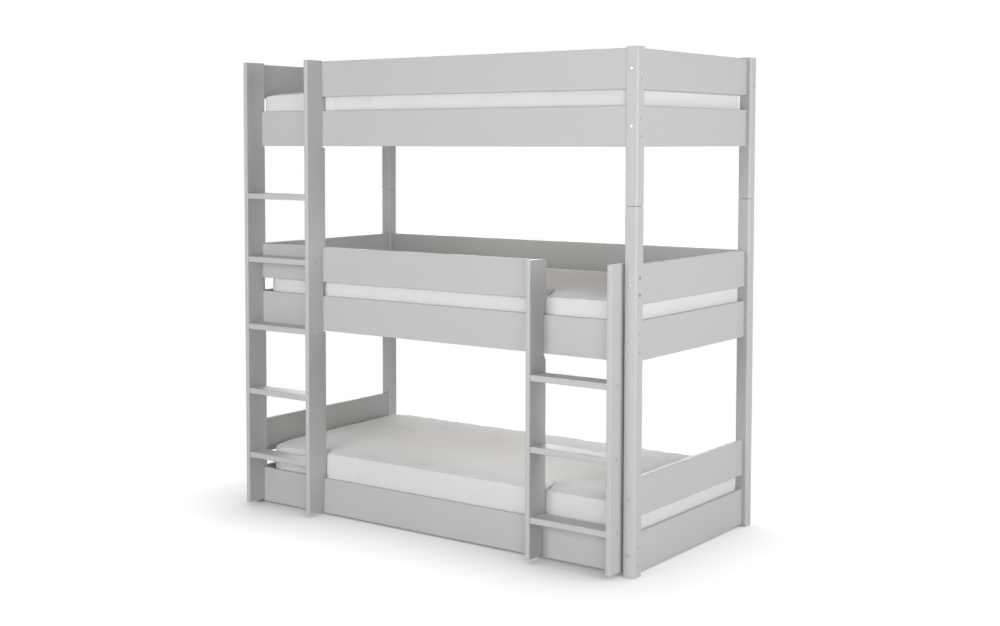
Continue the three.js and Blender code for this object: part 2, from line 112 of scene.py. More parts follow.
# Decks
LEDGE_ROUND = 2 * MM
SLAT_WIDTH = 70 * MM
SLAT_THICKNESS = 15 * MM
SLAT_EASE = 1 * MM
TAPE_WIDTH = 25 * MM
TAPE_THICKNESS = 1.4 * MM
TAPE_ROUND = 0.5 * MM
TAPE_REACH = 0.32  # share of the slats' length from their middle to a tape
TAPE_END_GAP = 5 * MM
TAPE_GAP = 0.05 * MM  # under the slats
STAPLE_STEP = 18 * MM  # from a slat's middle line
STAPLE_REACH = 5 * MM  # half the length of the crown
STAPLE_WIRE = 0.6 * MM  # half its thickness
STAPLE_SUNK = 0.3 * MM  # into the tape
STAPLE_LEG = 6 * MM
STAPLE_EASE = 0.25 * MM

# Fasteners
POST_BOLT = {"length": 84 * MM, "head": 6.1 * MM, "socket": 2.9 * MM}
TREAD_BOLT = {"length": 52 * MM, "head": 6.4 * MM, "socket": 1.5 * MM}
BOLT_HEAD_TOP = 0.4 * MM  # under the face
BOLT_HEAD_ROUND = 0.9 * MM
BOLT_SEAT_GAP = 0.1 * MM
BOLT_SHANK = 3.6 * MM
BOLT_TIP = (0.8, 1.5 * MM)  # share of the shank's radius, and length
SOCKET_SIDES = 6
SOCKET_DEPTH = 0.9  # against its radius
PIN_BEVEL = 1 * MM
SCREW = (  # radius and height, with the face that it sinks into at nought
    (0.76 * MM, -26 * MM), (1.9 * MM, -22 * MM), (1.9 * MM, -2.2 * MM), (4 * MM, -0.1 * MM),
    (3.76 * MM, 0.15 * MM), (2 * MM, 0.35 * MM))
CROSS_REACH, CROSS_HALF, CROSS_DEPTH = 2.2 * MM, 0.45 * MM, 1.4 * MM
LEDGE_SCREWS = 7
LEDGE_SCREW_MARGIN = 90 * MM
LADDER_SCREW_RISE = 105 * MM  # over the board's foot, clear of the ledge
LADDER_SCREW_DROP = 18 * MM  # under the board's top


# Sizes and colours that a user would change

class BunkShape(PropertyGroup):
    """Edge shapes and counts of the bed's pieces"""

    post_round: FloatProperty(
        name="Post Rounding", description="Radius of the posts' long edges",
        default=7 * MM, min=0.001, max=0.02, unit="LENGTH")
    board_round: FloatProperty(
        name="Board Rounding", description="Radius of the long edges of rails and guards",
        default=3 * MM, min=0.0005, max=0.008, unit="LENGTH")
    stile_round: FloatProperty(
        name="Stile Rounding", description="Radius of the ladder stiles' long edges",
        default=4 * MM, min=0.0005, max=0.009, unit="LENGTH")
    tread_round: FloatProperty(
        name="Tread Rounding", description="Radius of the treads' long edges",
        default=4 * MM, min=0.0005, max=0.012, unit="LENGTH")
    slat_round: FloatProperty(
        name="Slat Rounding", description="Radius of the slats' long edges",
        default=3 * MM, min=0.0005, max=0.007, unit="LENGTH")
    end_ease: FloatProperty(
        name="End Easing", description="Chamfer that eases the ends of posts and boards",
        default=1.2 * MM, min=0.0002, max=0.003, unit="LENGTH")
    slat_count: IntProperty(
        name="Slats", description="Slats in each bed", default=12, min=6, max=20)


class BunkMattress(PropertyGroup):
    """How the mattresses are cut and filled"""

    corner_round: FloatProperty(
        name="Corner Rounding", description="Radius of a mattress corner seen from above",
        default=44 * MM, min=0.02, max=0.12, unit="LENGTH")
    seam_round: FloatProperty(
        name="Seam Rounding", description="Radius of the sewn edges",
        default=4 * MM, min=0.002, max=0.02, unit="LENGTH")
    welt_radius: FloatProperty(
        name="Welt", description="Radius of the cord in the seams",
        default=2 * MM, min=0.001, max=0.004, unit="LENGTH")
    crown: FloatProperty(
        name="Crown", description="Rise of the middle over the edges",
        default=20 * MM, min=0.0, max=0.03, unit="LENGTH")
    pressure: FloatProperty(
        name="Filling Pressure", description="Pressure that swells the cover",
        default=4.0, min=0.0, max=10.0)
    swell_limit: FloatProperty(
        name="Swell Limit", description="Furthest that a point of the cover may move",
        default=6 * MM, min=0.0, max=0.015, unit="LENGTH")


class BunkColours(PropertyGroup):
    """Colours of the finishes, as linear values"""

    lacquer: FloatVectorProperty(
        name="Lacquer", description="Light grey lacquer on posts, boards and ladders",
        default=(0.505, 0.507, 0.499), subtype="COLOR", size=3, min=0.0, max=1.0)
    pine_light: FloatVectorProperty(
        name="Pine, Early Wood", description="Light wood between the slats' growth rings",
        default=(0.70, 0.53, 0.33), subtype="COLOR", size=3, min=0.0, max=1.0)
    pine_dark: FloatVectorProperty(
        name="Pine, Late Wood", description="Darker wood of the slats' growth rings",
        default=(0.52, 0.33, 0.16), subtype="COLOR", size=3, min=0.0, max=1.0)
    # The top cloth's own colour, set a little lighter than the border as painted light, to make up
    # for the weak light on the mattress tops
    top_panel_with_painted_light: FloatVectorProperty(
        name="Mattress Top", description="Woven cloth of the mattress's top and bottom",
        default=(0.766, 0.765, 0.761), subtype="COLOR", size=3, min=0.0, max=1.0)
    border: FloatVectorProperty(
        name="Mattress Border", description="White cloth round the mattress's sides",
        default=(0.728, 0.732, 0.736), subtype="COLOR", size=3, min=0.0, max=1.0)
    webbing: FloatVectorProperty(
        name="Slat Tapes", description="Cotton tape under the slats",
        default=(0.62, 0.60, 0.54), subtype="COLOR", size=3, min=0.0, max=1.0)
    steel: FloatVectorProperty(
        name="Steel", description="Zinc plated bolts, screws and pins",
        default=(0.55, 0.55, 0.54), subtype="COLOR", size=3, min=0.0, max=1.0)


class BunkStage(PropertyGroup):
    """Camera, lamps and surroundings"""

    camera_place: FloatVectorProperty(
        name="Camera", description="Where the camera stands",
        default=(3.6660, -5.0996, 1.6104), subtype="XYZ", size=3, unit="LENGTH")
    camera_turn: FloatProperty(
        name="Camera Turn", description="Turn of the camera round the vertical",
        default=0.6473, subtype="ANGLE")
    camera_tilt: FloatProperty(
        name="Camera Tilt", description="How far the camera looks down",
        default=0.0583, subtype="ANGLE")
    focal_length: FloatProperty(
        name="Focal Length", description="Focal length in millimetres, on a 36 mm sensor",
        default=52.76, min=10.0, max=200.0)
    lamp_level: FloatProperty(
        name="Lamp Level", description="Scales the power of all the lamps together",
        default=1.0, min=0.0, max=4.0)
    room_strength: FloatProperty(
        name="Room Light", description="Strength of the even light from all round",
        default=0.08, min=0.0, max=2.0)


# Modelling steps

def only(obj):
    """Makes obj the one selected and active object."""
    bpy.ops.object.select_all(action="DESELECT")
    obj.select_set(True)
    bpy.context.view_layer.objects.active = obj
    return obj


@contextmanager
def editing(obj, mode="EDGE"):
    """Edit mode on one object, with nothing selected at the start."""
    only(obj)
    bpy.ops.object.mode_set(mode="EDIT")
    bpy.ops.mesh.select_mode(type=mode)
    bpy.ops.mesh.select_all(action="DESELECT")
    yield
    bpy.ops.object.mode_set(mode="OBJECT")


def select(obj, kind, test):
    """Selects the edges or the faces that pass a test."""
    mesh = bmesh.from_edit_mesh(obj.data)
    for part in getattr(mesh, kind):
        part.select_set(test(part))
    bmesh.update_edit_mesh(obj.data)


def select_edges(obj, test):
    """Selects the edges whose two ends pass a test."""
    select(obj, "edges", lambda edge: test(*(vertex.co for vertex in edge.verts)))


def runs_along(axis):
    """A test for edges that run along one axis."""
    return lambda a, b: (b - a).normalized()[axis] ** 2 > STRAIGHT


def settle(obj, name):
    """Names a new primitive and puts its place, turn and size into its mesh."""
    obj.name = obj.data.name = name
    bpy.ops.object.transform_apply(location=True, rotation=True, scale=True)
    return obj


def bar(name, low, high):
    """A box from its lowest and highest corners."""
    bpy.ops.object.select_all(action="DESELECT")
    low, high = Vector(low), Vector(high)
    bpy.ops.mesh.primitive_cube_add(size=1, location=(low + high) / 2)
    obj = bpy.context.active_object
    obj.scale = high - low
    return settle(obj, name)


def apply_modifier(obj, kind, **settings):
    """Adds a modifier with these settings and applies it."""
    modifier = obj.modifiers.new(kind.lower(), kind)
    for key, value in settings.items():
        setattr(modifier, key, value)
    only(obj)
    bpy.ops.object.modifier_apply(modifier=modifier.name)


def round_along(obj, axis, radius, segments):
    """Rounds the edges that run along one axis."""
    with editing(obj):
        select_edges(obj, runs_along(axis))
        bpy.ops.mesh.bevel(offset=radius, segments=segments, profile=0.5, affect="EDGES",
                           clamp_overlap=True)


def ease(obj, width, segments=2):
    """Chamfers every edge that is still sharp."""
    apply_modifier(obj, "BEVEL", width=width, segments=segments, limit_method="ANGLE",
                   angle_limit=SHARP_ANGLE, use_clamp_overlap=True)


def cut(obj, cutters):
    """Cuts closed solids that don't touch one another out of obj."""
    if not cutters:
        return
    cutter = joined("cutter", cutters)
    apply_modifier(obj, "BOOLEAN", operation="DIFFERENCE", solver="EXACT", object=cutter)
    discard(cutter)


def joined(name, objects):
    """One object from several, at the origin."""
    bpy.ops.object.select_all(action="DESELECT")
    for obj in objects:
        obj.select_set(True)
    bpy.context.view_layer.objects.active = objects[0]
    if len(objects) > 1:
        bpy.ops.object.join()
    whole = bpy.context.active_object
    whole.name = whole.data.name = name
    return whole


def turned(name, profile, sides):
    """A round solid about Z from its profile of radius and height pairs, from below up."""
    bpy.ops.object.select_all(action="DESELECT")
    radius, height = profile[0]
    bpy.ops.mesh.primitive_circle_add(vertices=sides, radius=radius, fill_type="NGON",
                                      location=(0, 0, height))
    obj = settle(bpy.context.active_object, name)
    with editing(obj, "FACE"):
        bpy.ops.mesh.select_all(action="SELECT")
        for next_radius, next_height in profile[1:]:
            bpy.ops.mesh.extrude_region_move(
                TRANSFORM_OT_translate={"value": (0, 0, next_height - height)})
            share = next_radius / radius
            bpy.ops.transform.resize(value=(share, share, 1),
                                     center_override=(0, 0, next_height))
            radius, height = next_radius, next_height
        bpy.ops.mesh.select_all(action="SELECT")
        bpy.ops.mesh.normals_make_consistent(inside=False)
    return obj


def copies(model, places):
    """Copies of a model, each with its own mesh, moved by the given matrices."""
    made = []
    for place in places:
        copy = bpy.data.objects.new(model.name, model.data.copy())
        bpy.context.collection.objects.link(copy)
        copy.data.transform(place)
        made.append(copy)
    return made


def discard(*objects):
    """Removes objects that are no longer needed, with their meshes."""
    for obj in objects:
        mesh = obj.data
        bpy.data.objects.remove(obj)
        bpy.data.meshes.remove(mesh)


def facing(point, outward):
    """Turns a model's +Z to point outward and moves its origin to the point."""
    turn = Vector((0, 0, 1)).rotation_difference(Vector(outward))
    return Matrix.Translation(point) @ turn.to_matrix().to_4x4()


def smooth(obj):
    """Smooth shading with crisp edges, and normals that favour the large faces."""
    only(obj)
    bpy.ops.object.shade_smooth_by_angle(angle=SMOOTH_ANGLE)
    apply_modifier(obj, "WEIGHTED_NORMAL", keep_sharp=True)


def finish_piece(obj, finish, replaces=()):
    """Gives a piece of the frame its material, hangs it on the frame's body, and hides the solids
    that it stands for.
    """
    obj.data.materials.clear()
    obj.data.materials.append(bpy.data.materials[finish])
    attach(obj, FRAME_BODY)
    if replaces:
        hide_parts(*replaces)


def steel_piece(name, parts, replaces=()):
    """Joins steel parts into one piece and finishes it."""
    obj = joined(name, parts)
    smooth(obj)
    finish_piece(obj, "zinc_steel", replaces)


def lacquered(obj, node):
    """Finishes a lacquered piece that stands for one solid."""
    smooth(obj)
    finish_piece(obj, "satin_lacquer", replaces=[node])


# Places of bolts and tenons

def middle_of(node):
    """Middle of a solid's box."""
    low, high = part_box(node)
    return (low + high) / 2


def treads_of(ladder):
    """The treads' solids, from the lowest up."""
    return [f"{ladder}_tread_{number}" for number in range(1, TREAD_COUNTS[ladder] + 1)]


def post_of(corner, storey):
    """The solid of one post."""
    return f"{corner}_{storey}_post"


def long_holes(corner, bed, board):
    """Bolt places on a post's end face for one rail or guard of that row, and if it is there."""
    side_x, side_y = CORNERS[corner]
    node = f"{ROWS[side_y]}_{bed}_{board}"
    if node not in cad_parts:
        return []
    low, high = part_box(node)
    post_low, post_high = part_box(f"{corner}_lower_post")
    is_used = low.x < post_high.x and high.x > post_low.x
    face_x = post_high.x if side_x > 0 else post_low.x
    points = [Vector((face_x, (low.y + high.y) / 2, low.z + rise)) for rise in LONG_BOLT_RISES]
    return [(point, Vector((side_x, 0, 0)), is_used) for point in points]


def end_hole(corner, bed, board):
    """Bolt place on a post's front or rear face for one end board."""
    side_x, side_y = CORNERS[corner]
    middle = middle_of(f"{ENDS[side_x]}_{bed}_{board}")
    post_low, post_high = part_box(f"{corner}_lower_post")
    face_y = post_high.y if side_y > 0 else post_low.y
    return Vector((middle.x, face_y, middle.z)), Vector((0, side_y, 0)), True


def post_holes(corner, storey):
    """Every bolt place on one post."""
    places = []
    for bed in STOREYS[storey]:
        for board in BOARDS:
            places += long_holes(corner, bed, board)
            places.append(end_hole(corner, bed, board))
    return places


def stile_holes(ladder, side):
    """Bolt places on a stile's outer face, one at each tread."""
    low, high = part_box(f"{ladder}_{ENDS[side]}_stile")
    face_x = high.x if side > 0 else low.x
    places = []
    for tread in treads_of(ladder):
        middle = middle_of(tread)
        places.append((Vector((face_x, middle.y, middle.z)), Vector((side, 0, 0)), True))
    return places


def recess():
    """Profile of a bolt head's recess, whose eased rim runs on past the face at 45 degrees."""
    return [(RECESS_RADIUS, -RECESS_DEPTH), (RECESS_RADIUS, -RECESS_RIM),
            (RECESS_RADIUS + RECESS_RIM + CUT_OVERRUN, CUT_OVERRUN)]


def hole_cutter(name, depth):
    """Cuts a recess with an eased rim for a bolt head, and a bore behind it."""
    return turned(name, [(BORE_RADIUS, -depth), (BORE_RADIUS, -RECESS_DEPTH), *recess()],
                  HOLE_SIDES)


def blind_cutter():
    """Cuts the recess alone, where a post is marked for a board that isn't there."""
    return turned("blind_cutter", recess(), HOLE_SIDES)


def mortise_cutters(corner, storey):
    """Mortises for every board that ends at this post."""
    side_x, side_y = CORNERS[corner]
    post_low, post_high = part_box(post_of(corner, storey))
    inner_x = post_low.x if side_x > 0 else post_high.x
    inner_y = post_low.y if side_y > 0 else post_high.y
    cutters = []
    for bed in STOREYS[storey]:
        for board in BOARDS:
            long_node = f"{ROWS[side_y]}_{bed}_{board}"
            if any(used for _, _, used in long_holes(corner, bed, board)):
                cutters.append(mortise(long_node, X, side_x, inner_x, LONG_TENON))
            end_node = f"{ENDS[side_x]}_{bed}_{board}"
            cutters.append(mortise(end_node, Y, side_y, inner_y, END_TENON))
    return cutters


def mortise(node, axis, side, face, tenon):
    """A cutter that fits round one board's tenon, from the post's inner face."""
    low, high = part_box(node)
    height, rise = tenon
    tip = high[axis] if side > 0 else low[axis]
    middle = (low + high) / 2
    middle.z = low.z + rise
    half = Vector((1, 1, 0)) * (TENON_THICKNESS / 2 + JOIN_GAP)
    half.z = height / 2 + JOIN_GAP
    ends = (face - side * CUT_OVERRUN, tip + side * TENON_TIP_GAP)
    middle[axis] = sum(ends) / 2
    half[axis] = abs(ends[1] - ends[0]) / 2
    return bar("mortise", middle - half, middle + half)


# Posts

class BUNK_OT_posts(Operator):
    """Builds the eight posts with their bolt recesses, bores and mortises"""

    bl_idname = "bunk.posts"
    bl_label = "Posts"

    def execute(self, context):
        shape = context.scene.bunk_shape
        low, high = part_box("front_left_lower_post")
        hole = hole_cutter("hole_cutter", high.x - low.x + CUT_OVERRUN)
        blind = blind_cutter()
        for corner in CORNERS:
            for storey in STOREYS:
                self.post(shape, corner, storey, hole, blind)
        discard(hole, blind)
        return {"FINISHED"}

    def post(self, shape, corner, storey, hole, blind):
        """One post, short of the joint plane but for its bearing face."""
        node = post_of(corner, storey)
        low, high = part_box(node)
        if storey == "lower":
            high.z -= JOINT_STEP
        else:
            low.z += JOINT_STEP
        obj = bar(f"{node}_lacquered", low, high)
        round_along(obj, Z, shape.post_round, segments=6)
        ease(obj, shape.end_ease)
        self.add_bearing(obj, 1 if storey == "lower" else -1)
        places = post_holes(corner, storey)
        used = [facing(point, out) for point, out, is_used in places if is_used]
        unused = [facing(point, out) for point, out, is_used in places if not is_used]
        cut(obj, copies(hole, used) + copies(blind, unused))
        cut(obj, mortise_cutters(corner, storey) + [self.pin_cutter(corner, storey)])
        lacquered(obj, node)

    def add_bearing(self, obj, side):
        """Raises the middle of the end that meets the other post, which leaves a fine gap."""
        with editing(obj, "FACE"):
            select(obj, "faces", lambda f: f.normal.z * side > STRAIGHT)
            bpy.ops.mesh.inset(thickness=JOINT_RIM)
            bpy.ops.mesh.extrude_region_move(
                TRANSFORM_OT_translate={"value": (0, 0, side * JOINT_STEP)})

    def pin_cutter(self, corner, storey):
        """Cuts the bore for this post's share of the pin."""
        low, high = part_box(f"{corner}_post_pin")
        radius = (high.x - low.x) / 2 + PIN_GAP
        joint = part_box(post_of(corner, "upper"))[0].z
        middle = (low + high) / 2
        if storey == "lower":
            depths = (low.z - TENON_TIP_GAP, joint + CUT_OVERRUN)
        else:
            depths = (joint - CUT_OVERRUN, high.z + TENON_TIP_GAP)
        cutter = turned("pin_cutter", [(radius, depth) for depth in depths], BOLT_SIDES)
        cutter.data.transform(Matrix.Translation((middle.x, middle.y, 0)))
        return cutter


# Rails and guards

class BUNK_OT_boards(Operator):
    """Builds the rails and guards with tenons and bolt bores in their ends"""

    bl_idname = "bunk.boards"
    bl_label = "Rails and Guards"

    def execute(self, context):
        shape = context.scene.bunk_shape
        depth, reach = BOARD_BORE
        bore = turned("bore_cutter", [(BORE_RADIUS, -depth), (BORE_RADIUS, reach)], BORE_SIDES)
        for bed in BEDS:
            for board in BOARDS:
                for row in ROWS.values():
                    node = f"{row}_{bed}_{board}"
                    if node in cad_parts:
                        self.board(shape, node, X, LONG_TENON, LONG_BOLT_RISES, bore)
                for end in ENDS.values():
                    node = f"{end}_{bed}_{board}"
                    self.board(shape, node, Y, END_TENON, (BOARD_HEIGHT / 2,), bore)
        discard(bore)
        return {"FINISHED"}

    def board(self, shape, node, axis, tenon, bolt_rises, bore):
        """One board along an axis, with a bored tenon at each end that meets a post."""
        low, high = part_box(node)
        faces = self.end_faces(axis, low, high)
        start, end = low.copy(), high.copy()
        start[axis], end[axis] = faces[0][0], faces[1][0]
        obj = bar(f"{node}_lacquered", start, end)
        round_along(obj, axis, shape.board_round, segments=4)
        ease(obj, BOARD_EASE, segments=1)
        middle = (low + high) / 2
        places = []
        for side, (face, tip) in zip((-1, 1), faces):
            if tip is None:
                continue
            out, point = Vector((0, 0, 0)), middle.copy()
            out[axis], point[axis] = side, face
            self.add_tenon(obj, axis, out, point, abs(tip - face), tenon, low.z)
            for rise in bolt_rises:
                point.z = low.z + rise
                places.append(facing(point, out))
        cut(obj, copies(bore, places))
        lacquered(obj, node)

    def end_faces(self, axis, low, high):
        """Where the board's two ends meet what carries them, and the tenons' tips."""
        inner_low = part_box("front_left_lower_post")[1][axis] + JOIN_GAP
        inner_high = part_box("rear_right_lower_post")[0][axis] - JOIN_GAP
        first = (inner_low, low[axis]) if low[axis] < inner_low else (low[axis], None)
        last = (inner_high, high[axis]) if high[axis] > inner_high else (high[axis], None)
        return first, last

    def add_tenon(self, obj, axis, out, centre, length, tenon, foot):
        """Extrudes a stub tenon out of the end face that has this centre."""
        height, rise = tenon
        across = Y if axis == X else X
        with editing(obj, "FACE"):
            select(obj, "faces", lambda f: f.normal.dot(out) > STRAIGHT)
            size = self.selected_size(obj)
            bpy.ops.mesh.inset(thickness=TENON_SHOULDER)
            scale = Vector((1, 1, 1))
            scale[across] = TENON_THICKNESS / (size[across] - 2 * TENON_SHOULDER)
            scale.z = height / (size[Z] - 2 * TENON_SHOULDER)
            bpy.ops.transform.resize(value=scale, center_override=centre)
            bpy.ops.transform.translate(value=(0, 0, foot + rise - centre.z))
            bpy.ops.mesh.extrude_region_move(TRANSFORM_OT_translate={"value": out * length})

    def selected_size(self, obj):
        """How far the selected points reach along each axis."""
        mesh = bmesh.from_edit_mesh(obj.data)
        points = [v.co for v in mesh.verts if v.select]
        return [max(p[i] for p in points) - min(p[i] for p in points) for i in range(3)]


# Ladders

class BUNK_OT_ladders(Operator):
    """Builds both ladders: notched stiles and rounded treads"""

    bl_idname = "bunk.ladders"
    bl_label = "Ladders"

    def execute(self, context):
        shape = context.scene.bunk_shape
        hole = hole_cutter("stile_hole_cutter", STILE_BORE_DEPTH)
        for ladder in TREAD_COUNTS:
            for side in ENDS:
                self.stile(shape, ladder, side, hole)
            for tread in treads_of(ladder):
                self.tread(shape, tread)
        discard(hole)
        return {"FINISHED"}

    def stile(self, shape, ladder, side, hole):
        """One stile with its notches, housings and bolt recesses."""
        node = f"{ladder}_{ENDS[side]}_stile"
        low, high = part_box(node)
        obj = bar(f"{node}_lacquered", low, high)
        round_along(obj, Z, shape.stile_round, segments=4)
        for notch in self.notches(ladder, side, low, high):
            cut(obj, [notch])
        ease(obj, STILE_EASE)
        cut(obj, self.housings(ladder, side, low, high))
        places = [facing(point, out) for point, out, _ in stile_holes(ladder, side)]
        cut(obj, copies(hole, places))  # on their own, because the bores run into the housings
        lacquered(obj, node)

    def notches(self, ladder, side, low, high):
        """Notches over the front boards that the stile crosses."""
        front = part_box("front_bottom_rail")[0].y - JOIN_GAP
        spans = [(low.z - CUT_OVERRUN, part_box("front_bottom_rail")[1].z + JOIN_GAP, 0)]
        middle_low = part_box("front_middle_rail")[0].z
        guard_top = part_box("front_middle_guard")[1].z
        if ladder == "short_ladder":
            spans.append((middle_low - JOIN_GAP, high.z + CUT_OVERRUN, NOTCH_SLANT))
        else:
            spans.append((middle_low - NOTCH_PLAY, guard_top + JOIN_GAP, 0))
            rail_low, rail_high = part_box("front_top_rail")
            spans.append((rail_low.z - NOTCH_PLAY, rail_high.z + JOIN_GAP, 0))
            if side > 0:
                guard_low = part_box("front_top_guard")[0].z
                spans.append((guard_low - NOTCH_PLAY, high.z + CUT_OVERRUN, 0))
        return [self.notch(low, high, front, *span) for span in spans]

    def notch(self, low, high, front, foot, top, slant):
        """Cutter for one notch, whose foot may slant down towards the back."""
        cutter = bar("notch", (low.x - CUT_OVERRUN, front, foot),
                     (high.x + CUT_OVERRUN, high.y + CUT_OVERRUN, top))
        if slant:
            back = high.y + CUT_OVERRUN
            share = (back - front) / (high.y - front)
            with editing(cutter):
                select_edges(cutter, lambda a, b: all(
                    abs(p.z - foot) < NEAR and abs(p.y - back) < NEAR for p in (a, b)))
                bpy.ops.transform.translate(value=(0, 0, -slant * share))
        return cutter

    def housings(self, ladder, side, low, high):
        """Shallow housings that take the ends of the treads."""
        inner = low.x if side > 0 else high.x
        cutters = []
        for tread in treads_of(ladder):
            tread_low, tread_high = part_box(tread)
            end = (tread_high.x if side > 0 else tread_low.x) + side * JOIN_GAP
            xs = sorted((inner - side * CUT_OVERRUN, end))
            cutters.append(bar("housing",
                               (xs[0], tread_low.y - JOIN_GAP, tread_low.z - JOIN_GAP),
                               (xs[1], tread_high.y + JOIN_GAP, tread_high.z + JOIN_GAP)))
        return cutters

    def tread(self, shape, node):
        """One tread with rounded long edges."""
        low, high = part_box(node)
        obj = bar(f"{node}_lacquered", low, high)
        round_along(obj, X, shape.tread_round, segments=5)
        ease(obj, TREAD_EASE, segments=1)
        lacquered(obj, node)


# Decks

class BUNK_OT_decks(Operator):
    """Builds the slat ledges, the slats, their tapes and staples"""

    bl_idname = "bunk.decks"
    bl_label = "Slats and Ledges"

    def execute(self, context):
        shape = context.scene.bunk_shape
        for bed in BEDS:
            for row in ROWS.values():
                self.ledge(shape, f"{row}_{bed}_ledge")
            self.slats(shape, bed)
            self.tapes(shape, bed)
        return {"FINISHED"}

    def ledge(self, shape, node):
        """One ledge that the slats lie on."""
        low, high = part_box(node)
        obj = bar(f"{node}_lacquered", low, high)
        round_along(obj, X, LEDGE_ROUND, segments=3)
        ease(obj, shape.end_ease)
        lacquered(obj, node)

    def slats(self, shape, bed):
        """All the slats of one bed, as one piece."""
        node = f"{bed}_slats"
        low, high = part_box(node)
        slat = bar("slat", (low.x, low.y, high.z - SLAT_THICKNESS),
                   (low.x + SLAT_WIDTH, high.y, high.z))
        round_along(slat, Y, shape.slat_round, segments=3)
        ease(slat, SLAT_EASE, segments=1)
        steps = self.steps(shape, low, high)
        obj = joined(f"{node}_pine", copies(slat, [Matrix.Translation((x, 0, 0)) for x in steps]))
        discard(slat)
        smooth(obj)
        finish_piece(obj, "pine", replaces=[node])

    def steps(self, shape, low, high):
        """How far each slat lies from the first."""
        pitch = (high.x - low.x - SLAT_WIDTH) / (shape.slat_count - 1)
        return [pitch * number for number in range(shape.slat_count)]

    def tapes(self, shape, bed):
        """Two cotton tapes under the slats, held by a pair of staples at each slat."""
        low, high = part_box(f"{bed}_slats")
        middle = (low + high) / 2
        top = high.z - SLAT_THICKNESS - TAPE_GAP
        foot = top - TAPE_THICKNESS
        strips, places = [], []
        for side in (-1, 1):
            y = middle.y + side * ((high.y - low.y) * TAPE_REACH)
            strip = bar("tape", (low.x + TAPE_END_GAP, y - TAPE_WIDTH / 2, foot),
                        (high.x - TAPE_END_GAP, y + TAPE_WIDTH / 2, top))
            round_along(strip, X, TAPE_ROUND, segments=2)
            strips.append(strip)
            for step in self.steps(shape, low, high):
                x = low.x + SLAT_WIDTH / 2 + step
                places += [Matrix.Translation((x - STAPLE_STEP, y, foot)),
                           Matrix.Translation((x + STAPLE_STEP, y, foot))]
        tape = joined(f"{bed}_slat_tapes", strips)
        smooth(tape)
        finish_piece(tape, "cotton_webbing")
        staple = self.staple()
        steel_piece(f"{bed}_tape_staples", copies(staple, places))
        discard(staple)

    def staple(self):
        """A staple's crown across the tape, with its legs going up into the slat."""
        reach, wire = STAPLE_REACH, STAPLE_WIRE
        crown = bar("staple", (-wire, -reach, -wire), (wire, reach, STAPLE_SUNK))
        with editing(crown):
            select_edges(crown, lambda a, b: abs(a.y - b.y) > reach)
            bpy.ops.mesh.subdivide(number_cuts=2)
        inner = reach - 2 * wire
        for vertex in crown.data.vertices:
            if abs(abs(vertex.co.y) - reach) > NEAR:
                vertex.co.y = math.copysign(inner, vertex.co.y)
        with editing(crown, "FACE"):
            select(crown, "faces", lambda f: f.normal.z > STRAIGHT
                   and abs(f.calc_center_median().y) > inner)
            bpy.ops.mesh.extrude_region_move(
                TRANSFORM_OT_translate={"value": (0, 0, STAPLE_LEG)})
        ease(crown, STAPLE_EASE, segments=1)
        return crown


# Fasteners

